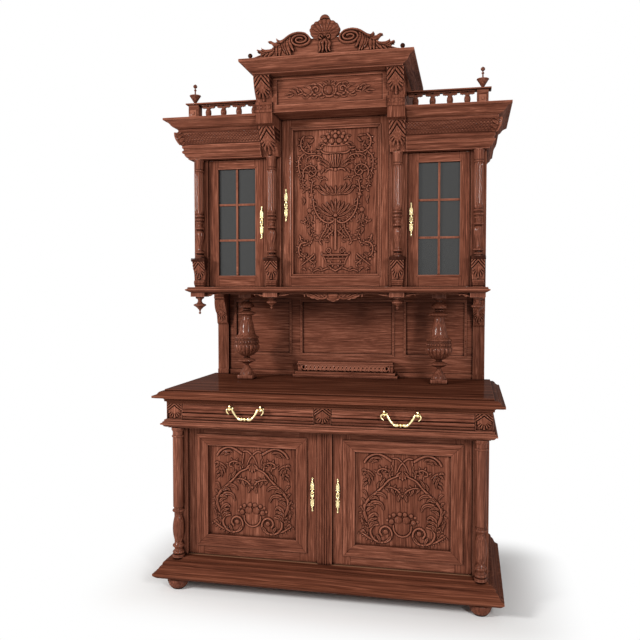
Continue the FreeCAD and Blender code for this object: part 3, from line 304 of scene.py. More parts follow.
def blurred(grid, passes):
    """A height grid, softened by averaging each point with its neighbours."""
    for _ in range(passes):
        wide = np.pad(grid, 1, mode="edge")
        beside = wide[:-2, 1:-1] + wide[2:, 1:-1] + wide[1:-1, :-2] + wide[1:-1, 2:]
        grid = (beside + wide[1:-1, 1:-1]) / 5.0
    return grid


def carving_grid(bm, wide, tall, pitch):
    """A flat grid to carve: its vertices, their places from -0.5 to 0.5, and its rows and columns."""
    columns = max(2, round(wide / pitch))
    rows = max(2, round(tall / pitch))
    verts = bmesh.ops.create_grid(bm, x_segments=columns, y_segments=rows, size=0.5)["verts"]
    return verts, np.array([v.co[:2] for v in verts]), (rows + 1, columns + 1)


def shading_layer(bm):
    """The layer that tells the carved wood where to paint shade, in its hollows (0), and highlight, where
    it stands out (1).
    """
    return bm.verts.layers.float.get("carved") or bm.verts.layers.float.new("carved")


def close_behind(bm, verts, send):
    """Grows the open rim of a sheet to the places that send names, and fills it there."""
    rim = list({e for v in verts for e in v.link_edges if e.is_boundary})
    grown = bmesh.ops.extrude_edge_only(bm, edges=rim)["geom"]
    for vert in grown:
        if isinstance(vert, bmesh.types.BMVert):
            vert.co = send(vert.co)
    bmesh.ops.edgeloop_fill(bm, edges=[e for e in grown if isinstance(e, bmesh.types.BMEdge)])


def carved_sheet(bm, wide, tall, draw, place, rear, shown=None, pitch=None, shade=0.17):
    """Adds a carved sheet: a grid that draw raises and place sets, its rim taken back and closed."""
    layer = shading_layer(bm)
    verts, flat, shape = carving_grid(bm, wide, tall, pitch or carving().pitch / MM)
    across = flat[:, 0] * wide
    up = (flat[:, 1] + 0.5) * tall
    field = Carving(across, up)
    draw(field)
    order = np.lexsort((flat[:, 0].round(6), flat[:, 1].round(6)))
    grid = field.proud[order].reshape(shape)
    hollow = np.empty(len(verts))
    # The carved layer holds painted shade and highlight: points lower than their surroundings darker,
    # higher ones lighter
    hollow[order] = np.clip(0.5 + shade * (grid - blurred(grid, 9)), 0.0, 1.0).ravel()
    points = place(across, up, field.proud)
    for vert, point, value in zip(verts, points.tolist(), hollow.tolist()):
        vert.co = point
        vert[layer] = value
    if shown is not None:
        kept = shown(field)
        gone = [v for v, keep in zip(verts, kept) if not keep]
        bmesh.ops.delete(bm, geom=gone, context="VERTS")
        verts = [v for v in verts if v.is_valid]
        loose = [v for v in verts if not v.link_faces]
        bmesh.ops.delete(bm, geom=loose, context="VERTS")
        verts = [v for v in verts if v.is_valid]
        for _ in range(3):
            edge = [v for v in verts if v.is_boundary]
            bmesh.ops.smooth_vert(bm, verts=edge, factor=0.5, use_axis_x=True, use_axis_z=True)
    close_behind(bm, verts, lambda spot: (spot.x, BACK_Y - rear, spot.z))


def upright_face(middle_x, low_z, ground):
    """Sets a carved sheet upright and facing forwards."""
    def place(across, up, proud):
        return np.column_stack([middle_x + across, BACK_Y - ground - proud, low_z + up])
    return place


def run_length(points):
    """How far along a line of points each one lies."""
    step = np.diff(np.asarray(points, float), axis=0)
    return np.concatenate([[0.0], np.cumsum(np.hypot(step[:, 0], step[:, 1]))])


def profile_face(middle_x, points, sink, taper=None):
    """Lays a carved sheet along a side profile of (depth, height) points, sunk until its top meets it."""
    line = np.asarray(points, float)
    done = run_length(line)

    def place(across, up, proud):
        depth = np.interp(up, done, line[:, 0])
        height = np.interp(up, done, line[:, 1])
        ahead = np.clip(up + 1.5, 0.0, done[-1])
        behind = np.clip(up - 1.5, 0.0, done[-1])
        run = np.column_stack([np.interp(ahead, done, line[:, k]) - np.interp(behind, done, line[:, k])
                               for k in (0, 1)])
        run /= np.maximum(np.hypot(run[:, 0], run[:, 1]), 1e-9)[:, None]
        out = proud - sink
        share = taper(height) if taper else 1.0
        return np.column_stack([middle_x + across * share, BACK_Y - (depth + out * run[:, 1]),
                                height - out * run[:, 0]])
    return place


def acanthus(field, half, low, high, proud):
    """A hanging leaf cut into a block: ribbed corners over a plain tent that ends in a fan of fingers."""
    tall = high - low
    p = field.across / half
    q = (field.up - low) / tall
    inside = (q > 0.0) & (q < 1.0) & (p < 0.99)
    slope = np.abs(0.88 - q) / 0.38
    beyond = p - np.where(q < 0.88, slope ** 1.15, -slope)
    corner = np.flatnonzero(inside & (beyond > 0.08))
    ribs = np.clip(1.35 * np.abs(np.sin(np.pi * (beyond[corner] - 0.06) / 0.44)) - 0.15, 0.0, 1.0) ** 0.7
    field.lift(corner, proud * (0.15 + 0.85 * ribs))
    down = (0.60 - q) * tall
    lean = np.arctan2(field.across, down)
    angle = np.degrees(lean)
    reach = 1.0 / np.hypot(np.cos(lean) / (0.57 * tall), np.sin(lean) / (1.02 * half))
    share = np.hypot(field.across, down) / reach
    turn = np.abs(angle / 21.0 - np.round(angle / 21.0)) * 2.0
    fan = np.clip((56.0 - np.abs(angle)) / 6.0, 0.0, 1.0)
    cut = np.clip((share - 0.40) / 0.22, 0.0, 1.0) * np.clip((turn - 0.40) / 0.32, 0.0, 1.0) * fan
    tip = np.clip(1.0 - (share * (1.0 + 0.18 * turn ** 2)) ** 9, 0.0, 1.0)
    lip = 0.84 + 0.16 * np.exp(-(beyond / 0.16) ** 2)
    body = np.flatnonzero(inside & (beyond < -0.05) & ((share < 1.0) | (q > 0.60)))
    finger = np.where(q < 0.64, (1.0 - 0.95 * cut) * np.sqrt(tip), 1.0)
    field.lift(body, (proud * lip * finger)[body])
    field.ball(0, low + 0.08 * tall, 0.15 * half + 0.8, proud + 0.8)


# Making the finished objects

def finish_piece(bm, name, body, material, replaced=(), sharp=35.0):
    """Takes a mesh from millimetres to a finished piece on its CAD body."""
    bmesh.ops.recalc_face_normals(bm, faces=bm.faces)
    bmesh.ops.scale(bm, vec=(MM, MM, MM), verts=bm.verts)
    mesh = bpy.data.meshes.new(name)
    bm.to_mesh(mesh)
    bm.free()
    mesh.polygons.foreach_set("use_smooth", [True] * len(mesh.polygons))
    mesh.set_sharp_from_angle(angle=math.radians(sharp))
    mesh.materials.append(bpy.data.materials[material])
    piece = bpy.data.objects.new(name, mesh)
    bpy.context.scene.collection.objects.link(piece)
    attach(piece, body)
    if replaced:
        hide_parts(*replaced)
    return piece


def bead(radius, low, high, count=6):
    """Profile points of a rounded ring."""
    middle = (low + high) / 2
    half = (high - low) / 2
    angles = np.linspace(-0.5 * math.pi, 0.5 * math.pi, count + 1)
    return [(radius - half + half * math.cos(a), middle + half * math.sin(a)) for a in angles]


def lathe(bm, profile, x, depth, foot=0.0, steps=48, shape=None, axis="Z"):
    """Turns a profile of (radius, height) points; shape may move each radius by its angle and height."""
    verts = [bm.verts.new((radius, 0.0, height)) for radius, height in profile]
    edges = [bm.edges.new(ends) for ends in zip(verts, verts[1:])]
    before = set(bm.verts) - set(verts)
    bmesh.ops.spin(bm, geom=verts + edges, cent=(0, 0, 0), axis=(0, 0, 1), angle=2 * math.pi,
                   steps=steps, use_merge=True)
    made = [v for v in bm.verts if v not in before]
    bmesh.ops.remove_doubles(bm, verts=made, dist=0.0005)
    made = [v for v in bm.verts if v not in before]
    if shape:
        for vert in made:
            radius = math.hypot(vert.co.x, vert.co.y)
            if radius > 0.01:
                share = shape(math.atan2(vert.co.y, vert.co.x), vert.co.z, radius) / radius
                vert.co.x *= share
                vert.co.y *= share
    rims = list({e for v in made for e in v.link_edges if e.is_boundary})
    if rims:
        bmesh.ops.edgeloop_fill(bm, edges=rims)
    if axis == "Y":
        bmesh.ops.rotate(bm, cent=(0, 0, 0), matrix=Matrix.Rotation(math.pi / 2, 3, "X"), verts=made)
    bmesh.ops.translate(bm, vec=(x, BACK_Y - depth, foot), verts=made)
    return made


def block(bm, x, depth, z, soften=1.0):
    """A board or block between its limits, with softened edges."""
    made = bmesh.ops.create_cube(bm, size=1.0)["verts"]
    size = (x[1] - x[0], depth[1] - depth[0], z[1] - z[0])
    middle = ((x[0] + x[1]) / 2, BACK_Y - (depth[0] + depth[1]) / 2, (z[0] + z[1]) / 2)
    bmesh.ops.scale(bm, vec=size, verts=made)
    bmesh.ops.translate(bm, vec=middle, verts=made)
    if soften:
        edges = list({e for v in made for e in v.link_edges})
        bmesh.ops.bevel(bm, geom=edges, offset=soften, offset_type="OFFSET", affect="EDGES", segments=2,
                        profile=0.5, material=-1)
    return made


def round_stems(bm, paths):
    """Adds round rods along smooth curves; each path has (x, y, z, radius) points."""
    for path in paths:
        data = bpy.data.curves.new("rod", "CURVE")
        data.dimensions = "3D"
        data.bevel_depth = 1.0
        data.bevel_resolution = 3
        data.use_fill_caps = True
        data.resolution_u = 6
        spline = data.splines.new("NURBS")
        spline.points.add(len(path) - 1)
        for point, (x, y, z, radius) in zip(spline.points, path):
            point.co = (x, y, z, 1.0)
            point.radius = radius
        spline.order_u = min(4, len(path))
        spline.use_endpoint_u = True
        rod = bpy.data.objects.new("rod", data)
        mesh = bpy.data.meshes.new_from_object(rod)
        bm.from_mesh(mesh)
        bpy.data.meshes.remove(mesh)
        bpy.data.objects.remove(rod)
        bpy.data.curves.remove(data)


# Materials

def add_node(tree, kind, inputs=None, **settings):
    """Adds a node; inputs may be values or sockets to link."""
    node = tree.nodes.new(kind)
    for key, value in settings.items():
        setattr(node, key, value)
    for key, value in (inputs or {}).items():
        if isinstance(value, bpy.types.NodeSocket):
            tree.links.new(value, node.inputs[key])
        else:
            node.inputs[key].default_value = value
    return node


def calc(tree, operation, first, second=0.0):
    """One step of arithmetic on values."""
    return add_node(tree, "ShaderNodeMath", {0: first, 1: second}, operation=operation).outputs[0]


def plus(tree, first, second):
    return calc(tree, "ADD", first, second)


def minus(tree, first, second):
    return calc(tree, "SUBTRACT", first, second)


def times(tree, first, second):
    return calc(tree, "MULTIPLY", first, second)


def vector_calc(tree, operation, first, second):
    """One step of arithmetic on places."""
    return add_node(tree, "ShaderNodeVectorMath", {0: first, 1: second}, operation=operation).outputs[0]


def ramp(tree, value, low, high, start=0.0, end=1.0):
    """A value carried smoothly from one range to another."""
    limits = {"Value": value, "From Min": low, "From Max": high, "To Min": start, "To Max": end}
    return add_node(tree, "ShaderNodeMapRange", limits, interpolation_type="SMOOTHSTEP").outputs[0]


def blend(tree, share, first, second):
    """A colour between two others."""
    return add_node(tree, "ShaderNodeMix", {0: share, 6: first, 7: second}, data_type="RGBA").outputs[2]


def choose(tree, share, first, second):
    """One of two places."""
    return add_node(tree, "ShaderNodeMix", {0: share, 4: first, 5: second}, data_type="VECTOR").outputs[1]


def noise(tree, place, scale, detail, rough=0.55, twist=0.0):
    """A soft noise over a place, with its own scale along each axis."""
    spread = vector_calc(tree, "MULTIPLY", place, scale)
    levels = {"Vector": spread, "Scale": 1.0, "Detail": detail, "Roughness": rough, "Distortion": twist}
    return add_node(tree, "ShaderNodeTexNoise", levels).outputs[0]


def reorder(tree, parts, order):
    """A place with its axes in another order."""
    return add_node(tree, "ShaderNodeCombineXYZ", {n: parts[k] for n, k in enumerate(order)}).outputs[0]


def new_group(name, inputs, outputs):
    """An empty node group with named sockets; returns it, its input node's and output node's sockets."""
    group = bpy.data.node_groups.new(name, "ShaderNodeTree")
    kinds = {"colour": "NodeSocketColor", "value": "NodeSocketFloat", "place": "NodeSocketVector"}
    for label, kind in inputs:
        group.interface.new_socket(label, in_out="INPUT", socket_type=kinds[kind])
    for label, kind in outputs:
        group.interface.new_socket(label, in_out="OUTPUT", socket_type=kinds[kind])
    return group, group.nodes.new("NodeGroupInput").outputs, group.nodes.new("NodeGroupOutput").inputs


def make_grain_group():
    """Long wood grain: streaks, fibres and pores along the first axis of its place."""
    group, given, result = new_group(
        "wood_grain",
        [("Place", "place"), ("Light", "colour"), ("Middle", "colour"), ("Dark", "colour")],
        [("Colour", "colour"), ("Roughness", "value"), ("Height", "value")])
    place = given["Place"]
    slow = vector_calc(group, "MULTIPLY", place, (1.3, 5.0, 5.0))
    waver = add_node(group, "ShaderNodeTexNoise", {"Vector": slow, "Scale": 1.0, "Detail": 2.0})
    sway = vector_calc(group, "SUBTRACT", waver.outputs[1], (0.5, 0.5, 0.5))
    bent = vector_calc(group, "ADD", place, vector_calc(group, "MULTIPLY", sway, (0, 0.05, 0.05)))
    broad = noise(group, bent, (2.0, 85.0, 85.0), 4.0, 0.6, 0.2)
    fine = noise(group, bent, (7.0, 210.0, 210.0), 3.0, 0.6)
    fibre = noise(group, bent, (18.0, 700.0, 700.0), 2.0, 0.5)
    pore = noise(group, place, (38.0, 1100.0, 1100.0), 1.0, 0.5)
    streaks = plus(group, times(group, fine, 0.60), times(group, fibre, 0.24))
    tone = plus(group, times(group, broad, 0.16), streaks)
    board = noise(group, place, (0.7, 11.0, 11.0), 2.0)
    tone = plus(group, tone, times(group, minus(group, board, 0.5), 0.22))
    colour = blend(group, ramp(group, tone, 0.29, 0.54), given["Dark"], given["Middle"])
    colour = blend(group, ramp(group, tone, 0.50, 0.68), colour, given["Light"])
    ticks = ramp(group, pore, 0.60, 0.74)
    colour = blend(group, times(group, ticks, 0.45), colour, given["Dark"])
    group.links.new(colour, result["Colour"])
    rough = plus(group, ramp(group, fine, 0.3, 0.7, 0.42, 0.54), times(group, ticks, 0.12))
    group.links.new(rough, result["Roughness"])
    ridges = plus(group, times(group, fine, 0.5), times(group, fibre, 0.3))
    group.links.new(minus(group, ridges, times(group, ticks, 0.5)), result["Height"])


def make_joinery_group():
    """Turns the grain along the stiles, rails and mitred moulding of a door, and marks the joints."""
    group, given, result = new_group(
        "door_joinery",
        [("Place", "place"), ("Middle X", "value"), ("Middle Z", "value"), ("Half X", "value"),
         ("Half Z", "value"), ("Moulding", "value"), ("Joint", "value")],
        [("Place", "place"), ("Joint", "value")])
    parts = add_node(group, "ShaderNodeSeparateXYZ", {0: given["Place"]}).outputs
    off_middle = minus(group, calc(group, "ABSOLUTE", parts[0]), given["Middle X"])
    across = calc(group, "ABSOLUTE", off_middle)
    up = calc(group, "ABSOLUTE", minus(group, parts[2], given["Middle Z"]))
    out_x = minus(group, across, given["Half X"])
    out_z = minus(group, up, given["Half Z"])
    ring = calc(group, "LESS_THAN", calc(group, "MAXIMUM", out_x, out_z), given["Moulding"])
    lean = minus(group, out_x, out_z)
    beside = minus(group, across, given["Joint"])
    edge = add_node(group, "ShaderNodeMix", {0: ring, 2: beside, 3: lean}, data_type="FLOAT").outputs[0]
    upright = calc(group, "GREATER_THAN", edge, 0.0)
    turned = choose(group, upright, given["Place"], reorder(group, parts, (2, 0, 1)))
    group.links.new(turned, result["Place"])
    gap = calc(group, "ABSOLUTE", edge)
    group.links.new(ramp(group, gap, 0.0004, 0.0016, 1.0, 0.0), result["Joint"])


def make_tarnish_group():
    """Polished metal with soft smears and duller spots."""
    group, given, result = new_group(
        "metal_handling",
        [("Place", "place"), ("Bright", "colour"), ("Dull", "colour")],
        [("Colour", "colour"), ("Roughness", "value"), ("Height", "value")])
    cloud = noise(group, given["Place"], (90.0, 90.0, 90.0), 4.0, 0.6)
    speck = noise(group, given["Place"], (700.0, 700.0, 700.0), 2.0, 0.5)
    mask = times(group, ramp(group, cloud, 0.48, 0.70), ramp(group, speck, 0.35, 0.65, 0.4, 1.0))
    colour = blend(group, times(group, mask, 0.55), given["Bright"], given["Dull"])
    group.links.new(colour, result["Colour"])
    worn = plus(group, cloud, times(group, speck, 0.3))
    group.links.new(ramp(group, worn, 0.4, 0.9, 0.16, 0.38), result["Roughness"])
    group.links.new(speck, result["Height"])


def new_material(name):
    """A material with a Principled shader; returns its tree, shader and object coordinates."""
    material = bpy.data.materials.new(name)
    material.use_nodes = True
    tree = material.node_tree
    tree.nodes.clear()
    shader = tree.nodes.new("ShaderNodeBsdfPrincipled")
    output = tree.nodes.new("ShaderNodeOutputMaterial")
    tree.links.new(shader.outputs[0], output.inputs[0])
    coords = tree.nodes.new("ShaderNodeTexCoord")
    return tree, shader, coords


def place_group(tree, name, inputs):
    """Adds one of the shared node groups and returns its outputs."""
    return add_node(tree, "ShaderNodeGroup", inputs, node_tree=bpy.data.node_groups[name]).outputs


def dress_shader(tree, shader, colour, rough, bump=None):
    """Wires a colour, a roughness and a bump into a Principled shader."""
    tree.links.new(colour, shader.inputs["Base Color"])
    tree.links.new(rough, shader.inputs["Roughness"])
    if bump:
        tree.links.new(add_node(tree, "ShaderNodeBump", bump).outputs[0], shader.inputs["Normal"])


def lay_grain(tree, coords, direction):
    """The object's place with the grain direction first; level boards turn with their end returns."""
    parts = add_node(tree, "ShaderNodeSeparateXYZ", {0: coords.outputs["Object"]}).outputs
    if direction == "upright":
        return reorder(tree, parts, (2, 0, 1))
    along_y = reorder(tree, parts, (1, 0, 2))
    facing = add_node(tree, "ShaderNodeSeparateXYZ", {0: coords.outputs["Normal"]}).outputs[0]
    sideways = calc(tree, "GREATER_THAN", calc(tree, "ABSOLUTE", facing), 0.6)
    return choose(tree, sideways, coords.outputs["Object"], along_y)


def wood_material(name, direction, colours, wax, carved=False, joinery=None, shade_and_grime=0.95,
                  stretch=(1, 1, 1)):
    """Waxed walnut; painted shade with grime darkens its corners, plain pieces get a painted highlight on
    convex edges, carved pieces get painted shade in their hollows and painted highlights on their ridges,
    and door frames show their joints.
    """
    tree, shader, coords = new_material(name)
    light, middle, dark = (rgba(c) for c in colours)
    shades = {"Light": light, "Middle": middle, "Dark": dark}
    # Near-black brown for the painted shade with grime in corners and carved hollows
    shade_and_grime_colour = rgba([0.35 * c for c in colours[2]])
    joint = None
    if joinery:
        doors = place_group(tree, "door_joinery", {"Place": coords.outputs["Object"], **joinery})
        place = doors["Place"]
        joint = doors["Joint"]
    else:
        place = vector_calc(tree, "MULTIPLY", lay_grain(tree, coords, direction), stretch)
    grain = place_group(tree, "wood_grain", {"Place": place, **shades})
    colour = grain["Colour"]
    if not carved:
        # Painted highlight: convex edges of plain pieces are lightened towards the pale walnut
        rim = add_node(tree, "ShaderNodeAmbientOcclusion", {"Distance": 0.004}, samples=8, inside=True,
                       only_local=True).outputs["AO"]
        colour = blend(tree, ramp(tree, rim, 0.94, 0.52, 0.0, 0.75), colour, light)
    # Painted shade with grime: corners and crevices found by occlusion are darkened
    corner = add_node(tree, "ShaderNodeAmbientOcclusion", {"Distance": 0.013}, samples=8).outputs["AO"]
    shade_and_grime_mask = ramp(tree, corner, 0.45, 0.97, shade_and_grime, 0.0)
    colour = blend(tree, shade_and_grime_mask, colour, shade_and_grime_colour)
    if carved:
        # Painted shade in carved hollows and painted highlights on carved ridges, read from the carved
        # layer
        relief = add_node(tree, "ShaderNodeAttribute", attribute_name="carved").outputs["Fac"]
        colour = blend(tree, ramp(tree, relief, 0.50, 0.20, 0.0, 0.85), colour, shade_and_grime_colour)
        colour = blend(tree, ramp(tree, relief, 0.54, 0.88, 0.0, 0.60), colour, light)
    if joint:
        colour = blend(tree, times(tree, joint, 0.8), colour, dark)
    height = grain["Height"]
    if joint:
        height = minus(tree, height, joint)
    dress_shader(tree, shader, colour, grain["Roughness"],
                 {"Strength": 0.35, "Distance": 0.0005, "Height": height})
    shader.inputs["Coat Weight"].default_value = wax
    shader.inputs["Coat Roughness"].default_value = 0.10
    shader.inputs["Specular IOR Level"].default_value = 0.0


def metal_material(name, bright, dull):
    """Handled metal, tarnished in its corners."""
    tree, shader, coords = new_material(name)
    looks = {"Bright": rgba(bright), "Dull": rgba(dull)}
    wear = place_group(tree, "metal_handling", {"Place": coords.outputs["Object"], **looks})
    corner = add_node(tree, "ShaderNodeAmbientOcclusion", {"Distance": 0.006}, samples=8).outputs["AO"]
    colour = blend(tree, ramp(tree, corner, 0.4, 0.9, 0.7, 0.0), wear["Colour"], rgba(dull))
    dress_shader(tree, shader, colour, wear["Roughness"],
                 {"Strength": 0.08, "Distance": 0.0003, "Height": wear["Height"]})
    shader.inputs["Metallic"].default_value = 1.0


def glass_material(name, tint):
    """Old panes, faintly uneven and dusty; their near-opaque dark colour is painted shade for the shaded
    inside of the cabinet, over the glass's own faint tint.
    """
    tree, shader, coords = new_material(name)
    wave = noise(tree, coords.outputs["Object"], (14.0, 14.0, 7.0), 2.0)
    dust = noise(tree, coords.outputs["Object"], (160.0, 160.0, 160.0), 4.0, 0.65)
    pale = [min(1.0, 1.35 * c) for c in tint]
    colour = blend(tree, ramp(tree, dust, 0.35, 0.8), rgba(tint), rgba(pale))
    dress_shader(tree, shader, colour, ramp(tree, dust, 0.4, 0.8, 0.06, 0.16),
                 {"Strength": 0.10, "Distance": 0.002, "Height": wave})
    shader.inputs["Transmission Weight"].default_value = 0.35
    shader.inputs["IOR"].default_value = 1.5


def keyhole_material(name):
    """Painted shadow for the inside of a keyhole: near-black and faintly mottled."""
    tree, shader, coords = new_material(name)
    shade_and_grime = noise(tree, coords.outputs["Object"], (400.0, 400.0, 400.0), 3.0)
    colour = blend(tree, shade_and_grime, (0.012, 0.008, 0.006, 1.0), (0.035, 0.026, 0.018, 1.0))
    dress_shader(tree, shader, colour, ramp(tree, shade_and_grime, 0.3, 0.7, 0.6, 0.85))


# Door frames in metres: middle and half size of the opening, width of the moulding, start of the stiles
LOWER_DOOR = {"Middle X": 0.333, "Middle Z": 0.4335, "Half X": 0.204, "Half Z": 0.2025, "Moulding": 0.050,
              "Joint": 0.221}
SIDE_DOOR = {"Middle X": 0.4695, "Middle Z": 1.646, "Half X": 0.0915, "Half Z": 0.250, "Moulding": 0.010,
             "Joint": 0.0885}
CENTRE_DOOR = {"Middle X": 0.0, "Middle Z": 1.7325, "Half X": 0.197, "Half Z": 0.3305, "Moulding": 0.014,
               "Joint": 0.205}


def make_finishes():
    """All materials of the piece."""
    look = finishes()
    walnut = (look.walnut_light, look.walnut_middle, look.walnut_dark)
    raw_middle = [(a + b) / 2 for a, b in zip(look.raw_light, look.raw_dark)]
    raw = (look.raw_light, raw_middle, look.raw_dark)
    make_grain_group()
    make_joinery_group()
    make_tarnish_group()
    wood_material("walnut_upright", "upright", walnut, look.wax)
    wood_material("walnut_level", "level", walnut, look.wax)
    wood_material("walnut_turned", "upright", [[0.95 * v for v in c] for c in walnut], look.polish)
    wood_material("walnut_lattice", "level", walnut, look.wax, shade_and_grime=0.15)
    deep = [[0.72 * c[0], 0.66 * c[1], 0.60 * c[2]] for c in walnut]
    wood_material("walnut_boards", "level", deep, look.wax, stretch=(0.4, 0.30, 1.0))
    wood_material("walnut_carved_upright", "upright", walnut, look.wax, carved=True, shade_and_grime=0.6)
    wood_material("walnut_carved_level", "level", walnut, look.wax, carved=True, shade_and_grime=0.5)
    wood_material("walnut_lower_doors", "level", walnut, look.wax, joinery=LOWER_DOOR)
    wood_material("walnut_side_doors", "level", walnut, look.wax, joinery=SIDE_DOOR)
    wood_material("walnut_centre_door", "level", walnut, look.wax, joinery=CENTRE_DOOR)
    wood_material("raw_upright", "upright", raw, 0.0)
    wood_material("raw_level", "level", raw, 0.0)
    metal_material("polished_brass", look.brass, look.brass_dull)
    metal_material("lock_steel", look.steel, look.steel_dull)
    glass_material("old_glass", look.glass)
    keyhole_material("keyhole_soot")


SLOT_FINISH = {"wood_upright": "walnut_upright", "wood_level": "walnut_level", "wood_inside": "raw_level",
               "brass": "polished_brass", "steel": "lock_steel", "glass": "old_glass",
               "wood_panel": "walnut_carved_upright"}


def node_finish(name, slot):
    """The material that a CAD node wears."""
    if slot == "wood_frame":
        for door, finish in (("lower", "walnut_lower_doors"), ("side", "walnut_side_doors"),
                             ("centre", "walnut_centre_door")):
            if name.startswith(door):
                return finish
    if name in ("base_columns", "pendants", "urn_finials", "bun_feet"):
        return "walnut_turned"
    if name in ("worktop", "plinth"):
        return "walnut_boards"
    if name == "back_boards":
        return "raw_upright"
    return SLOT_FINISH[slot]


# Drawings of the carved panels from the middle of each: stems as (path, half width, height share),
# blades and drops as (path, half width), balls as (across, up, radius); leafy are the numbers of stems
# that get small leaves

LOWER_STEMS = (
    ([(163, 156), (150, 175), (125, 191), (100, 194), (75, 184), (48, 167)], (5, 5.5), 0.85),
    ([(148, 158), (135, 171), (115, 180), (97, 180)], (2.5, 2), 0.5),
    ([(40, 168), (42, 140), (45, 105)], (4.5, 4), 0.65),
    ([(40, 178), (24, 179), (10, 170), (0, 160)], (3.5, 4), 0.7),
    ([(0, 160), (10, 148), (18, 132), (24, 118)], (4, 2.5), 0.7),
    ([(47, 147), (44, 132), (50, 112)], (3, 2.5), 0.5),
    ([(168, -20), (172, -60), (166, -100), (156, -130)], (2.5, 2), 0.5),
    ([(88, 50), (60, 54), (43, 52), (23, 43), (10, 29), (0, 16)], (3, 4.5), 0.8),
    ([(146, -100), (160, -76), (165, -45), (158, -22), (143, -2), (118, 22), (93, 46), (71, 71), (53, 88),
      (33, 97), (15, 106)], (8, 3.5), 0.95),
    ([(53, 98), (57, 118), (72, 130), (90, 131), (104, 122), (104, 110), (94, 108)], (4, 3.5), 0.8),
    ([(97, -184), (137, -174), (162, -158), (180, -146)], (4, 5), 0.75),
    ([(105, -111), (123, -115), (135, -133), (135, -153), (125, -171), (108, -184), (86, -188), (64, -182),
      (48, -166), (45, -143), (55, -124), (73, -117), (90, -126), (96, -143), (88, -157)], (5, 4.5), 0.9),
    ([(38, -112), (35, -134), (20, -152), (0, -158)], (3.5, 4.5), 0.75),
)
LOWER_LEAFY = (6, 7, 9, 10)
LOWER_BLADES = (
    ([(142, 162), (125, 174), (104, 178), (89, 171)], 7), ([(130, 158), (118, 165), (103, 163)], 6),
    ([(158, 120), (138, 112), (119, 98)], 7), ([(151, 107), (135, 97), (127, 78)], 7),
    ([(153, 102), (143, 82), (144, 57)], 7), ([(155, 112), (164, 108), (172, 100)], 5),
    ([(152, 86), (162, 78), (170, 74)], 5), ([(150, 70), (160, 62), (168, 50)], 5),
    ([(155, 120), (166, 124), (176, 118)], 5), ([(95, 58), (84, 76), (74, 92)], 7),
    ([(106, 48), (104, 62), (97, 76)], 5), ([(120, 20), (98, 24), (78, 16), (69, 2)], 9),
    ([(136, 0), (116, 7), (101, -4)], 8), ([(142, -34), (126, -18), (105, -15), (88, -25), (80, -46)], 10),
    ([(152, -30), (133, -26), (116, -34)], 7), ([(152, -54), (140, -41), (123, -37)], 7),
    ([(142, -94), (135, -78), (120, -66), (103, -74)], 10), ([(144, -112), (132, -92), (107, -84)], 9),
    ([(140, -124), (128, -106), (103, -101)], 8), ([(10, 25), (15, 10), (19, -8)], 7),
    ([(46, 46), (39, 32), (33, 20)], 6), ([(72, 50), (64, 41), (58, 31)], 5),
    ([(170, 31), (160, 27), (151, 9)], 6), ([(174, -2), (166, -8), (161, -22)], 5),
    ([(179, -36), (172, -44), (166, -56)], 5), ([(177, -88), (172, -102), (167, -122)], 5),
    ([(178, -149), (168, -140), (155, -154)], 5), ([(107, -158), (99, -172), (94, -189)], 7),
    ([(50, -160), (60, -176), (79, -188)], 7), ([(62, 128), (52, 120), (48, 108)], 5),
)
LOWER_DROPS = (
    ([(0, 126), (0, 106), (0, 84)], 7), ([(3, 120), (9, 106), (12, 90)], 6),
    ([(4, 122), (16, 114), (26, 99)], 6),
)
LOWER_BALLS = ((17, -86, 17), (47, -95, 11.5), (11, -62, 10), (37, -66, 9), (54, -73, 6.5), (64, -90, 6.5),
               (37, -126, 6), (71, -141, 11), (0, 160, 5))

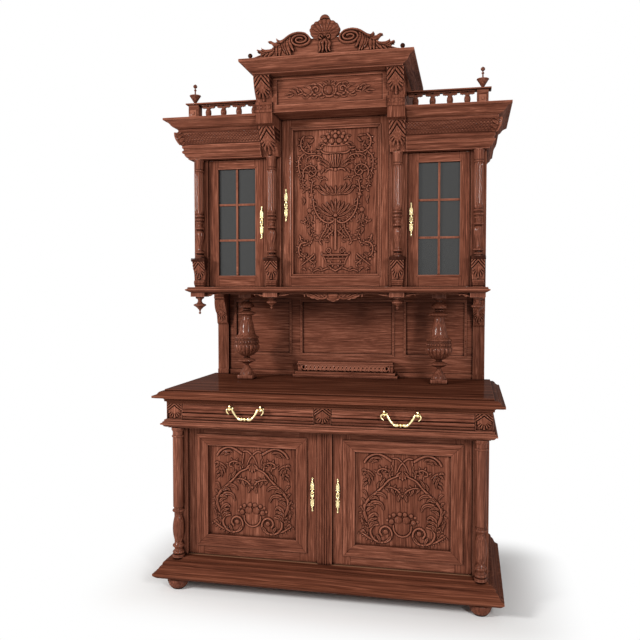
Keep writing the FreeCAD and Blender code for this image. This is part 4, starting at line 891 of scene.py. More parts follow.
CENTRE_STEMS = (
    ([(0, 220), (35, 222), (55, 226), (68, 238), (66, 252), (52, 265)], (4, 4), 0.75),
    ([(52, 262), (28, 258), (0, 256)], (3, 3.5), 0.6),
    ([(148, 303), (160, 287), (163, 270), (157, 248), (140, 230), (118, 223),
      (95, 224)], (4.5, 3.5), 0.8),
    ([(60, 196), (66, 206), (78, 213), (100, 215), (120, 212), (136, 202)], (4, 3), 0.75),
    ([(150, 222), (168, 205), (173, 182), (172, 158), (166, 134), (155, 112), (152, 78),
      (142, 52)], (4, 2.5), 0.65),
    ([(12, 150), (26, 152), (40, 147), (46, 139)], (4, 3), 0.75),
    ([(150, 118), (152, 140), (140, 160), (118, 168), (98, 160), (90, 142), (96, 126), (110, 120),
      (122, 127), (124, 139), (115, 145)], (4, 3), 0.9),
    ([(84, 118), (74, 106), (60, 104), (50, 112)], (3, 2), 0.6),
    ([(0, 36), (25, 37), (50, 36)], (4, 3), 0.75),
    ([(109, 16), (113, 58), (108, 92), (112, 106)], (4.5, 3), 0.7),
    ([(90, 12), (86, -14), (70, -42), (42, -66), (14, -72)], (2, 2.5), 0.4),
    ([(104, 14), (101, -16), (92, -43), (75, -70), (50, -90), (30, -96), (12, -89),
      (0, -76)], (3.5, 4.5), 0.9),
    ([(40, -102), (46, -126), (64, -154), (74, -180)], (3.5, 3), 0.7),
    ([(22, -112), (38, -138), (56, -160)], (3, 2.5), 0.6),
    ([(12, -132), (28, -147), (44, -160)], (3.5, 3), 0.6),
    ([(0, -80), (0, -150), (0, -216)], (5, 5.5), 0.95),
    ([(42, -221), (32, -211), (22, -221), (32, -231), (42, -221)], (3, 3), 0.7),
    ([(0, -258), (24, -258), (46, -258)], (3, 3), 0.5),
    ([(56, -250), (46, -268), (43, -284)], (3, 3), 0.6),
    ([(0, -243), (30, -243), (58, -243)], (4, 4), 0.95),
    ([(0, -284), (20, -284), (42, -284)], (3, 3), 0.6),
    ([(100, -92), (118, -80), (135, -82), (152, -92)], (3.5, 3), 0.65),
    ([(124, -86), (118, -118), (104, -148), (98, -175)], (2.5, 2), 0.5),
    ([(168, -154), (162, -174), (148, -184), (118, -188)], (4, 4), 0.75),
    ([(140, -184), (160, -188), (172, -207), (172, -228), (165, -243), (152, -250)], (5, 3.5), 0.85),
    ([(160, -236), (130, -258), (98, -284)], (3.5, 3), 0.65),
    ([(100, -238), (128, -262), (162, -290)], (3.5, 3), 0.65),
    ([(0, -316), (15, -308), (32, -302), (50, -308), (66, -314), (84, -310), (104, -318)], (4, 3), 0.75),
)
CENTRE_LEAFY = (2, 3, 4, 6, 7, 9, 11, 12, 13, 14, 19, 20, 21, 22, 23, 24, 25)
CENTRE_BLADES = (
    ([(46, 262), (62, 268), (80, 262)], 6), ([(60, 250), (76, 246), (92, 250)], 6),
    ([(70, 236), (84, 234), (96, 240)], 5), ([(44, 290), (58, 300), (72, 298)], 6),
    ([(106, 296), (124, 300), (142, 298)], 6), ([(118, 262), (132, 256), (146, 246)], 7),
    ([(122, 250), (128, 262), (136, 276)], 6), ([(104, 288), (112, 276), (124, 270)], 6),
    ([(66, 198), (78, 192), (90, 196)], 5), ([(130, 212), (142, 220), (146, 232)], 5),
    ([(28, 162), (40, 178), (56, 190), (70, 193)], 7), ([(30, 158), (48, 168), (60, 176), (76, 173)], 7),
    ([(54, 150), (62, 142), (68, 130)], 6), ([(40, 38), (66, 46), (92, 72)], 8),
    ([(30, 40), (56, 58), (74, 80)], 8), ([(20, 42), (40, 62), (50, 86)], 8),
    ([(10, 40), (20, 58), (26, 74)], 7), ([(0, 38), (0, 56), (0, 76)], 6),
    ([(72, 62), (86, 72), (98, 66)], 6), ([(20, -62), (56, -46), (80, -20)], 7),
    ([(14, -56), (42, -34), (64, -8)], 8), ([(10, -52), (28, -24), (42, 0)], 8),
    ([(5, -50), (14, -18), (22, 8)], 7), ([(0, -56), (0, -20), (0, 16)], 7),
    ([(120, -50), (128, -70), (119, -104)], 8), ([(120, -54), (111, -70), (117, -100)], 7),
    ([(120, -116), (125, -128), (118, -148)], 8), ([(150, -198), (138, -193), (122, -189)], 6),
    ([(170, -150), (164, -164), (166, -178)], 5), ([(152, -252), (142, -244), (132, -234)], 6),
    ([(108, -262), (100, -256), (98, -244)], 6), ([(62, -314), (68, -304), (80, -300)], 6),
    ([(20, -308), (26, -298), (38, -296)], 5), ([(110, -316), (118, -304), (132, -302)], 6),
    ([(140, -312), (150, -304), (160, -310)], 5), ([(30, -178), (40, -181), (50, -180)], 4),
    ([(158, 128), (166, 118), (168, 104)], 5), ([(146, 96), (156, 88), (160, 74)], 6),
    ([(120, 70), (132, 62), (146, 60)], 6), ([(154, 24), (146, 8), (150, -10)], 6),
)
CENTRE_BALLS = (
    (0, 320, 8), (38, 310, 8.5), (14, 314, 9), (56, 290, 7), (0, 300, 11), (32, 296, 9.5), (46, 280, 9),
    (0, 262, 9), (28, 262, 8), (18, 278, 13), (112, 34, 10), (122, -37, 11), (0, 148, 8), (14, 148, 5),
    (0, -60, 10), (32, -221, 5), (78, 196, 6), (160, -262, 7),
)

FRIEZE_STEMS = (
    ([(0, 27), (20, 24), (30, 8), (28, -12), (14, -25), (0, -28)], (4.5, 4.5), 0.85),
    ([(36, -16), (52, -22), (70, -13), (75, 5), (62, 16), (50, 9), (53, -2), (61, -2)], (5.5, 3.5), 0.95),
    ([(74, -8), (92, -20), (112, -12), (126, 5), (136, 10), (142, 3), (135, -4)], (5, 3), 0.85),
    ([(120, -8), (148, -14), (174, -7), (198, -10)], (4, 2), 0.75),
    ([(30, 14), (44, 27), (62, 27)], (4, 2.5), 0.75),
)
FRIEZE_BLADES = (
    ([(78, 4), (92, 18), (114, 19)], 8), ([(146, -12), (160, 4), (180, 8)], 7),
    ([(90, -22), (104, -28), (120, -24)], 6), ([(52, -23), (64, -31), (80, -29)], 6),
    ([(138, 9), (150, 17), (162, 15)], 5), ([(58, 24), (70, 30), (84, 24)], 6),
    ([(0, 26), (0, 34), (0, 44)], 5), ([(6, 26), (12, 34), (16, 41)], 5),
    ([(10, 24), (22, 30), (30, 36)], 5), ([(160, -10), (172, -18), (188, -20)], 5),
    ([(20, -26), (30, -32), (42, -33)], 5),
)
FRIEZE_BALLS = ((135, 3, 4), (58, 4, 5))


def draw_tables(field, shift, proud, stems, blades=(), drops=(), balls=(), leafy=(), trench=TRENCH,
                broad=1.0, gouge=0.5):
    """Draws a layout about the point at the given height; stems named in leafy get small leaves."""
    def moved(path):
        return [(x, y + shift) for x, y in path]

    for number in leafy:
        field.fringe(moved(stems[number][0]), 10.0, 19.0, 5.0, 0.8 * proud)
    for path, wide, share in stems:
        field.stem(moved(path), wide, share * proud, trench)
    for path, wide in blades:
        field.blade(moved(path), wide * broad, proud, gouge, trench)
    for path, wide in drops:
        field.drop(moved(path), wide, proud)
    for x, y, radius in balls:
        field.ball(x, y + shift, radius, min(1.1 * proud, radius * 0.8))


class BUFFET_OT_finish_casework(bpy.types.Operator):
    """Make the woods, metals and glass and put them on every CAD node"""

    bl_idname = "buffet.finish_casework"
    bl_label = "Finish casework"

    def execute(self, context):
        make_finishes()
        slots = {part["node"]: part["material_slot"] for part in frame["record"]["subparts"]}
        for name, node in frame["nodes"].items():
            finish = bpy.data.materials[node_finish(name, slots[name])]
            node.data.materials.clear()
            node.data.materials.append(finish)
        return {"FINISHED"}


class BUFFET_OT_carve_lower_panels(bpy.types.Operator):
    """Carve the two lower door panels: scrolls, fronds and a bowl of fruit"""

    bl_idname = "buffet.carve_lower_panels"
    bl_label = "Carve lower panels"

    def execute(self, context):
        proud = carving().panel_depth / MM
        for side in ("left", "right"):
            node = f"lower_door_{side}_panel"
            low, high = node_box(node)
            wide = high[0] - low[0]
            tall = high[2] - low[2]

            def draw(field):
                field.ball(0, tall / 2 - 120, 33, 0.5 * proud, 36)
                draw_tables(field, tall / 2, proud, LOWER_STEMS, LOWER_BLADES, LOWER_DROPS, LOWER_BALLS,
                            LOWER_LEAFY, trench=1.8, broad=1.2)

            bm = bmesh.new()
            place = upright_face((low[0] + high[0]) / 2, low[2], BACK_Y - low[1] - proud)
            carved_sheet(bm, wide, tall, draw, place, BACK_Y - high[1])
            finish_piece(bm, f"carved_{node}", f"lower_door_{side}", "walnut_carved_upright",
                         [node])
        return {"FINISHED"}


class BUFFET_OT_carve_centre_panel(bpy.types.Operator):
    """Carve the centre door's panel: an urn of fruit over a lyre of scrolls"""

    bl_idname = "buffet.carve_centre_panel"
    bl_label = "Carve centre panel"

    def execute(self, context):
        node = "centre_door_panel"
        low, high = node_box(node)
        proud = carving().panel_depth / MM
        tall = high[2] - low[2]

        def draw(field):
            draw_tables(field, tall / 2, proud, CENTRE_STEMS, CENTRE_BLADES, (), CENTRE_BALLS,
                        CENTRE_LEAFY, trench=1.4)
            field.bowl(tall / 2 + 158, tall / 2 + 217, 13, 31, proud, 7)

        bm = bmesh.new()
        place = upright_face(0.0, low[2], BACK_Y - low[1] - proud)
        carved_sheet(bm, high[0] - low[0], tall, draw, place, BACK_Y - high[1], pitch=1.8)
        finish_piece(bm, f"carved_{node}", "centre_door", "walnut_carved_upright", [node])
        return {"FINISHED"}


# Side profiles of the carved faces, from the foot up, as (depth, height)
DIE_FACE = ((396, 1342), (404, 1354), (405, 1362), (401, 1374), (398, 1402), (403, 1428), (409, 1448),
            (412, 1462))
CORBEL_FACE = (
    (404, 1937), (406, 1947), (427, 1975), (446, 2005), (459, 2035), (464, 2055), (464, 2065),
    (501, 2066), (501, 2113), (507, 2114), (507, 2157), (502, 2159), (502, 2169), (519, 2190),
    (533, 2215), (542, 2240), (545, 2254), (545, 2266),
)
CONSOLE_FACE = ((48, 1160), (52, 1180), (58, 1208), (74, 1235), (85, 1262), (88, 1282), (92, 1290),
                (92, 1318))


def along_profile(points, height):
    """The run along a profile at which it first passes a height."""
    done = run_length(points)
    for low, high, start, end in zip(points, points[1:], done, done[1:]):
        if low[1] <= height < high[1]:
            return start + (end - start) * (height - low[1]) / (high[1] - low[1])
    raise ValueError(f"the profile doesn't pass {height}")


class BUFFET_OT_carve_leaf_blocks(bpy.types.Operator):
    """Carve acanthus on the dies, corbels, consoles and frieze blocks"""

    bl_idname = "buffet.carve_leaf_blocks"
    bl_label = "Carve leaf blocks"

    def execute(self, context):
        proud = carving().leaf_depth / MM
        bm = bmesh.new()
        line = DIE_FACE
        foot = along_profile(line, 1376)

        def draw_die(field):
            acanthus(field, 29.0, foot, run_length(line)[-1], proud)
            base = np.flatnonzero(field.up < foot - 3.0)
            field.lift(base, proud * (0.82 + 0.18 * np.cos(field.up[base] * 0.55)))

        def taper(height):
            return np.interp(height, [1342, 1432], [22 / 30, 1.0])

        for side in SIDES:
            for x in COLUMN_X:
                place = profile_face(x * side, line, proud, taper)
                carved_sheet(bm, 60.0, run_length(line)[-1], draw_die, place, CASE_FRONT, **LEAF_GRID)
                block(bm, (x * side - 33, x * side + 33), (CASE_FRONT, 416), (1462, 1477), 1.0)
        finish_piece(bm, "leaf_dies", "case", "walnut_carved_upright", ["upper_dies"])

        bm = bmesh.new()
        line = CORBEL_FACE
        heights = [along_profile(line, z) for z in (1939, 2060, 2158, 2264)]
        studs = along_profile(line, 2135)

        def draw_corbel(field):
            acanthus(field, 36.5, heights[0], heights[1], proud)
            acanthus(field, 36.5, heights[2], heights[3], proud)
            plain = (field.up > heights[1]) & (field.up < heights[2]) | (field.up > heights[3])
            field.lift(plain, proud)
            field.proud[(np.abs(field.up - studs) < 10.0) & (field.across < 35.0)] = proud - 2.5
            for x in (9.0, 27.0):
                field.ball(x, studs, 7.0, proud + 1.5)

        corbel_x = 292.5
        for side in SIDES:
            place = profile_face(corbel_x * side, line, proud)
            carved_sheet(bm, 75.0, run_length(line)[-1], draw_corbel, place, CASE_FRONT, **LEAF_GRID)
        finish_piece(bm, "leaf_corbels", "case", "walnut_carved_upright", ["corbel_blocks"])

        bm = bmesh.new()
        low, high = node_box("frieze_blocks")
        tall = high[2] - low[2]
        for x, half in ((-667.5, 35.5), (0.0, 37.0), (667.5, 35.5)):
            def draw_block(field, half=half):
                acanthus(field, half - 1.5, 3.0, tall - 2.0, proud)
                field.lift((field.across > half - 1.5) | (field.up < 2.5), proud)

            place = upright_face(x, low[2], BACK_Y - low[1] - proud - 1.5)
            carved_sheet(bm, 2 * half, tall, draw_block, place, BACK_Y - high[1], **LEAF_GRID)
        finish_piece(bm, "leaf_frieze_blocks", "case", "walnut_carved_upright",
                     ["frieze_blocks"])

        bm = bmesh.new()
        line = CONSOLE_FACE
        heights = [along_profile(line, z) for z in (1166, 1244)]

        def draw_console(field):
            acanthus(field, 26.0, heights[0], heights[1], 6.0)
            for z, thick in ((1256, 7.0), (1272, 9.0), (1290, 6.0), (1306, 7.0)):
                run = along_profile(line, z)
                field.stem([(0, run), (13, run), (27, run)], thick, 4.0)

        console_x, console_wide, console_rear = 651, 54.0, 30
        for side in SIDES:
            place = profile_face(console_x * side, line, -0.6)
            carved_sheet(bm, console_wide, run_length(line)[-1], draw_console, place, console_rear,
                         pitch=LEAF_GRID["pitch"])
        finish_piece(bm, "leaf_consoles", "case", "walnut_carved_upright")
        return {"FINISHED"}


class BUFFET_OT_carve_centre_frieze(bpy.types.Operator):
    """Carve the field above the centre door: an oval boss between leafy scrolls"""

    bl_idname = "buffet.carve_centre_frieze"
    bl_label = "Carve centre frieze"

    def execute(self, context):
        half, low, high = 234.5, 2144.5, 2253.5
        rear, ground, proud = 480, 487.5, 6.5
        middle = (high - low) / 2

        def draw(field):
            draw_tables(field, middle, proud, FRIEZE_STEMS, FRIEZE_BLADES, (), FRIEZE_BALLS)
            field.ball(0, middle, 14, proud + 1.5, 19)

        bm = bmesh.new()
        carved_sheet(bm, 2 * half, high - low, draw, upright_face(0.0, low, ground), rear)
        finish_piece(bm, "carved_frieze_field", "case", "walnut_carved_level")
        return {"FINISHED"}


def cornice_bulge(up):
    """How far the cornice frieze stands back from the cornice tip, by height above its lower edge."""
    tall, foot, lean, swell, clear = 56.0, 66.0, 18.0, 24.5, 0.7
    t = np.clip(up / tall, 0.0, 1.0)
    return foot - lean * t - swell * t * (1.0 - t) - clear


class BUFFET_OT_weave_cornices(bpy.types.Operator):
    """Carve the woven band and corner leaf on the swelling friezes of the side cornices"""

    bl_idname = "buffet.weave_cornices"
    bl_label = "Weave cornice friezes"

    def execute(self, context):
        low, tall = 1999.5, 55.0
        tip_x, tip_d, inner_x, inset = 773.0, 498.0, 330.0, 57.0

        def draw(field):
            cell, squeeze, corner = 13.0, 0.92, 30.0
            u = (field.across * squeeze + field.up) / cell
            v = (field.across * squeeze - field.up) / cell
            weave = np.sqrt(np.abs(np.sin(np.pi * u) * np.sin(np.pi * v)))
            edge = np.clip(np.minimum(field.up, tall - field.up) / 5.0, 0.0, 1.0)
            field.proud = 2.8 * weave * edge * (field.across > corner)
            for path, wide in (([(0, 4), (12, 5), (30, 12)], 8), ([(0, 14), (14, 18), (38, 30)], 9),
                               ([(0, 26), (14, 34), (36, 47)], 9), ([(0, 38), (10, 46), (24, 55)], 8)):
                field.blade(path, wide, 8.0)
            field.stem([(0, 0), (0, 28), (0, 55)], 5, 8.5)

        bm = bmesh.new()
        for side in SIDES:
            def front(across, up, proud):
                reach = tip_x - cornice_bulge(up) + proud
                x = reach + (inner_x - reach) * across
                return np.column_stack([side * x, BACK_Y - (tip_d - cornice_bulge(up) + proud), low + up])

            def end(across, up, proud):
                reach = tip_d - cornice_bulge(up) + proud
                depth = reach * (1.0 - across) + across
                x = tip_x - cornice_bulge(up) + proud
                return np.column_stack([side * x, BACK_Y - depth, low + up])

            for long, place in ((tip_x - inset - inner_x, front), (tip_d - inset, end)):
                def set_in(across, up, proud, long=long, place=place):
                    return place(across / long + 0.5, up, proud)

                def draw_run(field, long=long):
                    field.across = field.across + long / 2
                    draw(field)

                band_sheet(bm, long, tall, draw_run, set_in)
        finish_piece(bm, "woven_cornice_bands", "case", "walnut_carved_level")
        return {"FINISHED"}


def band_sheet(bm, long, tall, draw, place):
    """A carved band laid over a moulding, with its own thickness behind it."""
    pitch, thick = 1.7, 2.5
    layer = shading_layer(bm)
    verts, flat, _ = carving_grid(bm, long, tall, pitch)
    across = flat[:, 0] * long
    up = (flat[:, 1] + 0.5) * tall
    field = Carving(across, up, mirrored=False)
    draw(field)
    face = place(across, up, field.proud)
    behind = place(across, up, np.full(len(up), -thick))
    share = field.proud / max(field.proud.max(), 0.1)
    for vert, point, value in zip(verts, face.tolist(), share.tolist()):
        vert.co = point
        # Painted shade and highlight on the carved layer: the raised weave lighter, its ground darker
        vert[layer] = 0.25 + 0.5 * value
    rear = {v.co.to_tuple(4): point for v, point in zip(verts, behind.tolist())}
    close_behind(bm, verts, lambda spot: rear[spot.to_tuple(4)])


# Outline and carving of the crest's right half, from the middle of its foot
CREST_BOARD = (
    (0, 0), (322, 0), (317, 4), (303, 7), (287, 13), (279, 17), (282, 24), (294, 25), (292, 30),
    (299, 35), (292, 39), (278, 34), (278, 39), (275, 47), (269, 40), (257, 36), (241, 36), (229, 39),
    (225, 46), (231, 55), (239, 63), (249, 65), (241, 72), (231, 72), (219, 65), (211, 64), (209, 70),
    (213, 75), (207, 80), (201, 75), (193, 72), (183, 74), (171, 82), (155, 92), (139, 99), (119, 103),
    (99, 101), (81, 96), (69, 85), (58, 73), (0, 73),
)
CREST_STEMS = (
    ([(190, 64), (172, 75), (155, 87), (138, 94), (119, 97), (99, 96), (82, 91), (70, 81), (64, 69),
      (68, 56), (80, 47), (99, 43), (118, 45), (134, 53), (141, 66), (136, 78), (122, 85), (104, 86),
      (88, 82), (79, 73), (80, 64), (90, 57), (104, 55), (117, 58), (124, 66), (119, 73), (106, 75),
      (96, 72)], (6, 4), 0.85),
    ([(15, 66), (22, 70), (21, 78), (13, 79), (10, 73)], (4, 3), 0.95),
)
CREST_BLADES = (
    ([(250, 26), (264, 16), (276, 6), (284, 2)], 8), ([(232, 34), (246, 22), (256, 10), (264, 2)], 9),
    ([(218, 42), (228, 26), (236, 14), (246, 2)], 10), ([(206, 48), (207, 30), (208, 16), (210, 3)], 9),
    ([(192, 56), (193, 38), (195, 20), (196, 3)], 10), ([(182, 62), (178, 42), (173, 26), (168, 14)], 9),
    ([(170, 68), (168, 46), (163, 24), (157, 5)], 10), ([(158, 74), (158, 50), (154, 26), (145, 3)], 10),
    ([(150, 80), (147, 60), (143, 40), (132, 20)], 9), ([(262, 20), (285, 12), (303, 6), (318, 3)], 7),
    ([(252, 24), (276, 20), (296, 27)], 8), ([(238, 32), (265, 27), (284, 33), (301, 36)], 9),
    ([(222, 40), (246, 31), (266, 34), (276, 48)], 10), ([(194, 56), (218, 55), (234, 65), (250, 65)], 11),
    ([(172, 70), (190, 64), (202, 68), (208, 81)], 10),
    ([(4, 62), (20, 46), (18, 26), (25, 8)], 7), ([(0, 62), (9, 45), (6, 26), (11, 7)], 6),
)


class BUFFET_OT_carve_crest(bpy.types.Operator):
    """Carve the crest: a shell between scrolls and ragged leaves, with a ball at each end"""

    bl_idname = "buffet.carve_crest"
    bl_label = "Carve crest"

    def execute(self, context):
        low, high = node_box("crest")
        half, tall = 330.0, 172.0
        rear = BACK_Y - high[1]
        ground = rear + 13.0
        proud = 16.0

        def inside_board(field):
            x, y = field.across, field.up
            inside = np.zeros(len(x), bool)
            outline = np.array(CREST_BOARD, float)
            for (x0, y0), (x1, y1) in zip(outline, np.roll(outline, -1, axis=0)):
                if y0 != y1:
                    crossing = (y0 > y) != (y1 > y)
                    inside ^= crossing & (x < (x1 - x0) * (y - y0) / (y1 - y0) + x0)
            return inside | (y < 4.0) & (x < 318.0)

        def draw(field):
            spine = [(150, 78), (180, 64), (208, 46), (240, 30), (275, 15), (312, 4)]
            field.stem(spine, (18, 5), 0.5 * proud)
            field.lift((field.across > 156.0) & inside_board(field), 0.42 * proud)
            draw_tables(field, 0.0, proud, (), CREST_BLADES, trench=1.6, broad=1.2, gouge=0.12)
            draw_tables(field, 0.0, proud, CREST_STEMS)
            x, y = field.across, field.up
            field.proud[(x > 58.0) & ~inside_board(field)] = 0.0
            field.ball(0, 144, 24, 0.65 * proud)
            hinge, middle, shell_wide, shell_tall, ribs = 74.0, 101.0, 67.0, 46.0, 11.0
            wave = np.abs(np.cos(ribs * np.arctan2(x, y - hinge)))
            share = np.hypot(x / shell_wide, (y - middle) / shell_tall) / (0.96 + 0.04 * wave)
            reach = np.clip(np.hypot(x, y - hinge) / 70.0, 0.0, 1.0)
            edge = np.sqrt(np.clip(1.0 - share ** 12, 0.0, 1.0))
            rise = proud * (0.42 + 0.58 * reach) * (0.66 + 0.34 * wave ** 0.8) * edge
            near = np.flatnonzero((share < 1.0) & (y > 76.0 - 0.5 * x))
            field.proud[near] = rise[near]
            around = np.flatnonzero((share >= 1.0) & (share < 1.05) & (y > 60.0))
            field.proud[around] *= 0.4
            draw_tables(field, 0.0, proud, CREST_STEMS[1:])

        def shown(field):
            return inside_board(field) | (field.proud > 0.05)

        bm = bmesh.new()
        place = upright_face(0.0, low[2], ground)
        carved_sheet(bm, 2 * half, tall, draw, place, rear, shown=shown, pitch=1.6, shade=0.07)
        profile = [(TIP, 0), (6, 0), (6, 3), (3.5, 5), *bead(10, 5.5, 25.5, 10), (TIP, 26)]
        for side in SIDES:
            lathe(bm, profile, 327 * side, rear + 15, low[2], steps=28)
        finish_piece(bm, "carved_crest", "case", "walnut_carved_level", ["crest"])
        return {"FINISHED"}


def fade(z, low, high, rise, fall):
    """0 at the ends of a stretch of height and 1 further in."""
    return min(1.0, (z - low) / rise, (high - z) / fall)


def scallops(angle, count):
    """Rises and falls from 0 at the grooves to 1 between them."""
    return abs(math.sin(count * angle / 2))


class BUFFET_OT_turn_upper_columns(bpy.types.Operator):
    """Turn the four upper columns, with fluted shafts and lobed vases"""

    bl_idname = "buffet.turn_upper_columns"
    bl_label = "Turn upper columns"

    def execute(self, context):
        depth = carving().flute_depth / MM
        count = carving().flutes
        vase_lobes = 8
        vase = smooth_path([(11, 1524), (12, 1535), (15.5, 1552), (19.5, 1570), (21, 1586), (19, 1599),
                            (13, 1607)], 4)
        shaft = [(19.5 - 0.5 * n / 22, 1691 + 187 * n / 22) for n in range(22 + 1)]
        profile = [
            (TIP, 1477), (23, 1477), (23, 1481), *bead(21, 1482, 1492), (12, 1495), (12, 1498),
            *bead(23, 1500, 1509), (13, 1512), (11, 1520), *vase, (12, 1609), *bead(21.5, 1612, 1621),
            (13, 1624), (11, 1630), (12, 1637), *bead(18, 1640, 1647), (14, 1650), *bead(22, 1653, 1664),
            (18.5, 1667), *bead(21.5, 1669, 1680), (16, 1683), (19, 1688), *shaft, *bead(22, 1880, 1889),
            (18, 1892), (20.5, 1896), (20.5, 1926), (23, 1930), (23, 1937), (TIP, 1937),
        ]

        def shape(angle, z, radius):
            if 1690 < z < 1879:
                return radius - depth * fade(z, 1690, 1879, 7, 7) * scallops(angle, count)
            if 1526 < z < 1606:
                return radius - 2.2 * fade(z, 1526, 1606, 14, 14) * (1.0 - scallops(angle, vase_lobes))
            return radius

        bm = bmesh.new()
        for side in SIDES:
            for x in COLUMN_X:
                lathe(bm, profile, x * side, COLUMN_DEPTH, steps=96, shape=shape)
        finish_piece(bm, "fluted_columns", "case", "walnut_turned", ["upper_columns"])
        return {"FINISHED"}


class BUFFET_OT_turn_vase_columns(bpy.types.Operator):
    """Turn the two vase columns of the niche, with gadrooned bowls and beaded collars"""

    bl_idname = "buffet.turn_vase_columns"
    bl_label = "Turn vase columns"

    def execute(self, context):
        count = carving().gadroons
        low = 892.0
        beads, bead_pitch, bead_half, bead_z = 26, 13.6, 6.2, 183

        def curve(*points):
            return smooth_path(points, 5)

        profile = [
            (TIP, 19), (36, 19), (36, 23), *curve((34, 25), (31, 36), (22, 50), (13, 62)), (9, 69),
            (13, 75), *curve((28, 82), (41, 88), (43, 90.5), (41, 93), (28, 99)), (13, 105),
            *curve((14, 110), (30, 117), (48, 130), (59, 145), (63, 157), (61, 166), (56, 171)),
            (58, 173), *((58, 174 + n * 1.5) for n in range(13)), (54, 195), *bead(59, 199, 209, 8),
            (50, 213), *curve((44, 217), (39, 232), (34, 262), (26, 292), (24, 304)), (26, 311),
            *curve((36, 316), (44, 321), (44, 324), (33, 330)), (19, 334), *bead(22, 337, 346), (19, 349),
            *curve((33, 351), (37, 356), (35, 363), (30, 370), (21, 377)), (14, 382), (15, 388), (24, 394),
            (30, 397), (30, 400), (TIP, 400),
        ]

        def shape(angle, z, radius):
            if 112 < z < 170:
                return radius * (1.0 - 0.10 * fade(z, 112, 170, 10, 6) * (1.0 - scallops(angle, count)))
            if 174.5 < z < 191.5:
                turn = (angle * beads / (2 * math.pi)) % 1.0 - 0.5
                swell = 1.0 - (turn * bead_pitch / bead_half) ** 2 - ((z - bead_z) / bead_half) ** 2
                return radius - 2.5 + 5.0 * math.sqrt(max(0.0, swell))
            return radius

        bm = bmesh.new()
        for side in SIDES:
            x = VASE_X * side
            lathe(bm, profile, x, VASE_DEPTH, low, steps=144, shape=shape)
            for half, foot, top in ((38, low, low + 20), (32, 1292, 1318)):
                block(bm, (x - half, x + half), (VASE_DEPTH - half, VASE_DEPTH + half), (foot, top), 1.5)
        finish_piece(bm, "gadrooned_vases", "case", "walnut_turned", ["vase_columns"])
        return {"FINISHED"}


class BUFFET_OT_cast_drop_handles(bpy.types.Operator):
    """Cast the brass posts and drop handles of the two drawers"""

    bl_idname = "buffet.cast_drop_handles"
    bl_label = "Cast drop handles"

    def execute(self, context):
        axis_d, axis_z, half = 664.0, 815.0, 69.0
        for side, sign in (("left", -1), ("right", 1)):
            middle = 334.0 * sign
            bm = bmesh.new()
            stem = [(TIP, 634), (9.5, 634), (9.5, 637), (8, 639), (5, 641), (4.2, 646), (5.2, 655),
                    *bead(8.0, 656, 672, 8), (3, 674), (1.4, 677), (TIP, 678)]
            knob = [(TIP, 818), (4.0, 819), (2.8, 822), (5.0, 826), (4.4, 830), (1.6, 834), (TIP, 834)]
            for end in SIDES:
                lathe(bm, stem, middle + half * end, 0, axis_z, steps=24, axis="Y")
                lathe(bm, knob, middle + half * end, axis_d, steps=16)
            finish_piece(bm, f"brass_posts_{side}", f"drawer_{side}", "polished_brass",
                         [f"drawer_{side}_posts"])
            bm = bmesh.new()
            y = BACK_Y - axis_d
            run = [(57, 4, 3.4), (56, -3, 5.4), (51, -12, 5.8), (44, -23, 5.2), (37, -32, 4.6),
                   (31, -37, 5.0), (27, -39.5, 7.4), (22, -41, 8.6), (16, -41, 8.6), (11, -41, 7.4),
                   (7.5, -41, 3.8), (5, -41, 3.8), (3, -41, 8.8), (0, -41, 9.4)]
            path = run + [(-x, z, r) for x, z, r in run[-2::-1]]
            round_stems(bm, [[(middle + x, y, axis_z + z, r) for x, z, r in path]])
            pin = [(TIP, 0), (3.4, 0), (3.4, 4), (2.5, 5), (2.5, 19), (3.2, 20), (3.2, 22), (TIP, 22)]
            curl = [(73, 0, 2.6), (78, 2, 3.6), (82, -2, 3.9), (82, -10, 3.6), (78, -17, 3.0),
                    (72, -21, 2.0)]
            for end in SIDES:
                round_stems(bm, [[(middle + across * end, y, axis_z + up, r) for across, up, r in curl]])
                made = lathe(bm, pin, 0, BACK_Y, steps=16)
                turn = Matrix.Rotation(math.pi / 2 * end, 3, "Y")
                bmesh.ops.rotate(bm, cent=(0, 0, 0), matrix=turn, verts=made)
                bmesh.ops.translate(bm, vec=(middle + 54 * end, y, axis_z), verts=made)
            finish_piece(bm, f"brass_bail_{side}", f"drawer_{side}_bail", "polished_brass",
                         [f"drawer_{side}_bail"])
        return {"FINISHED"}


# Each door's key plate: middle across and up, and the depth of the face it lies on
KEY_PLATES = (("lower_door_left", -56, 441, 578), ("lower_door_right", 56, 441, 578),
              ("side_door_left", -347, 1644, 352), ("side_door_right", 347, 1644, 352),
              ("centre_door", -230, 1721, 352))


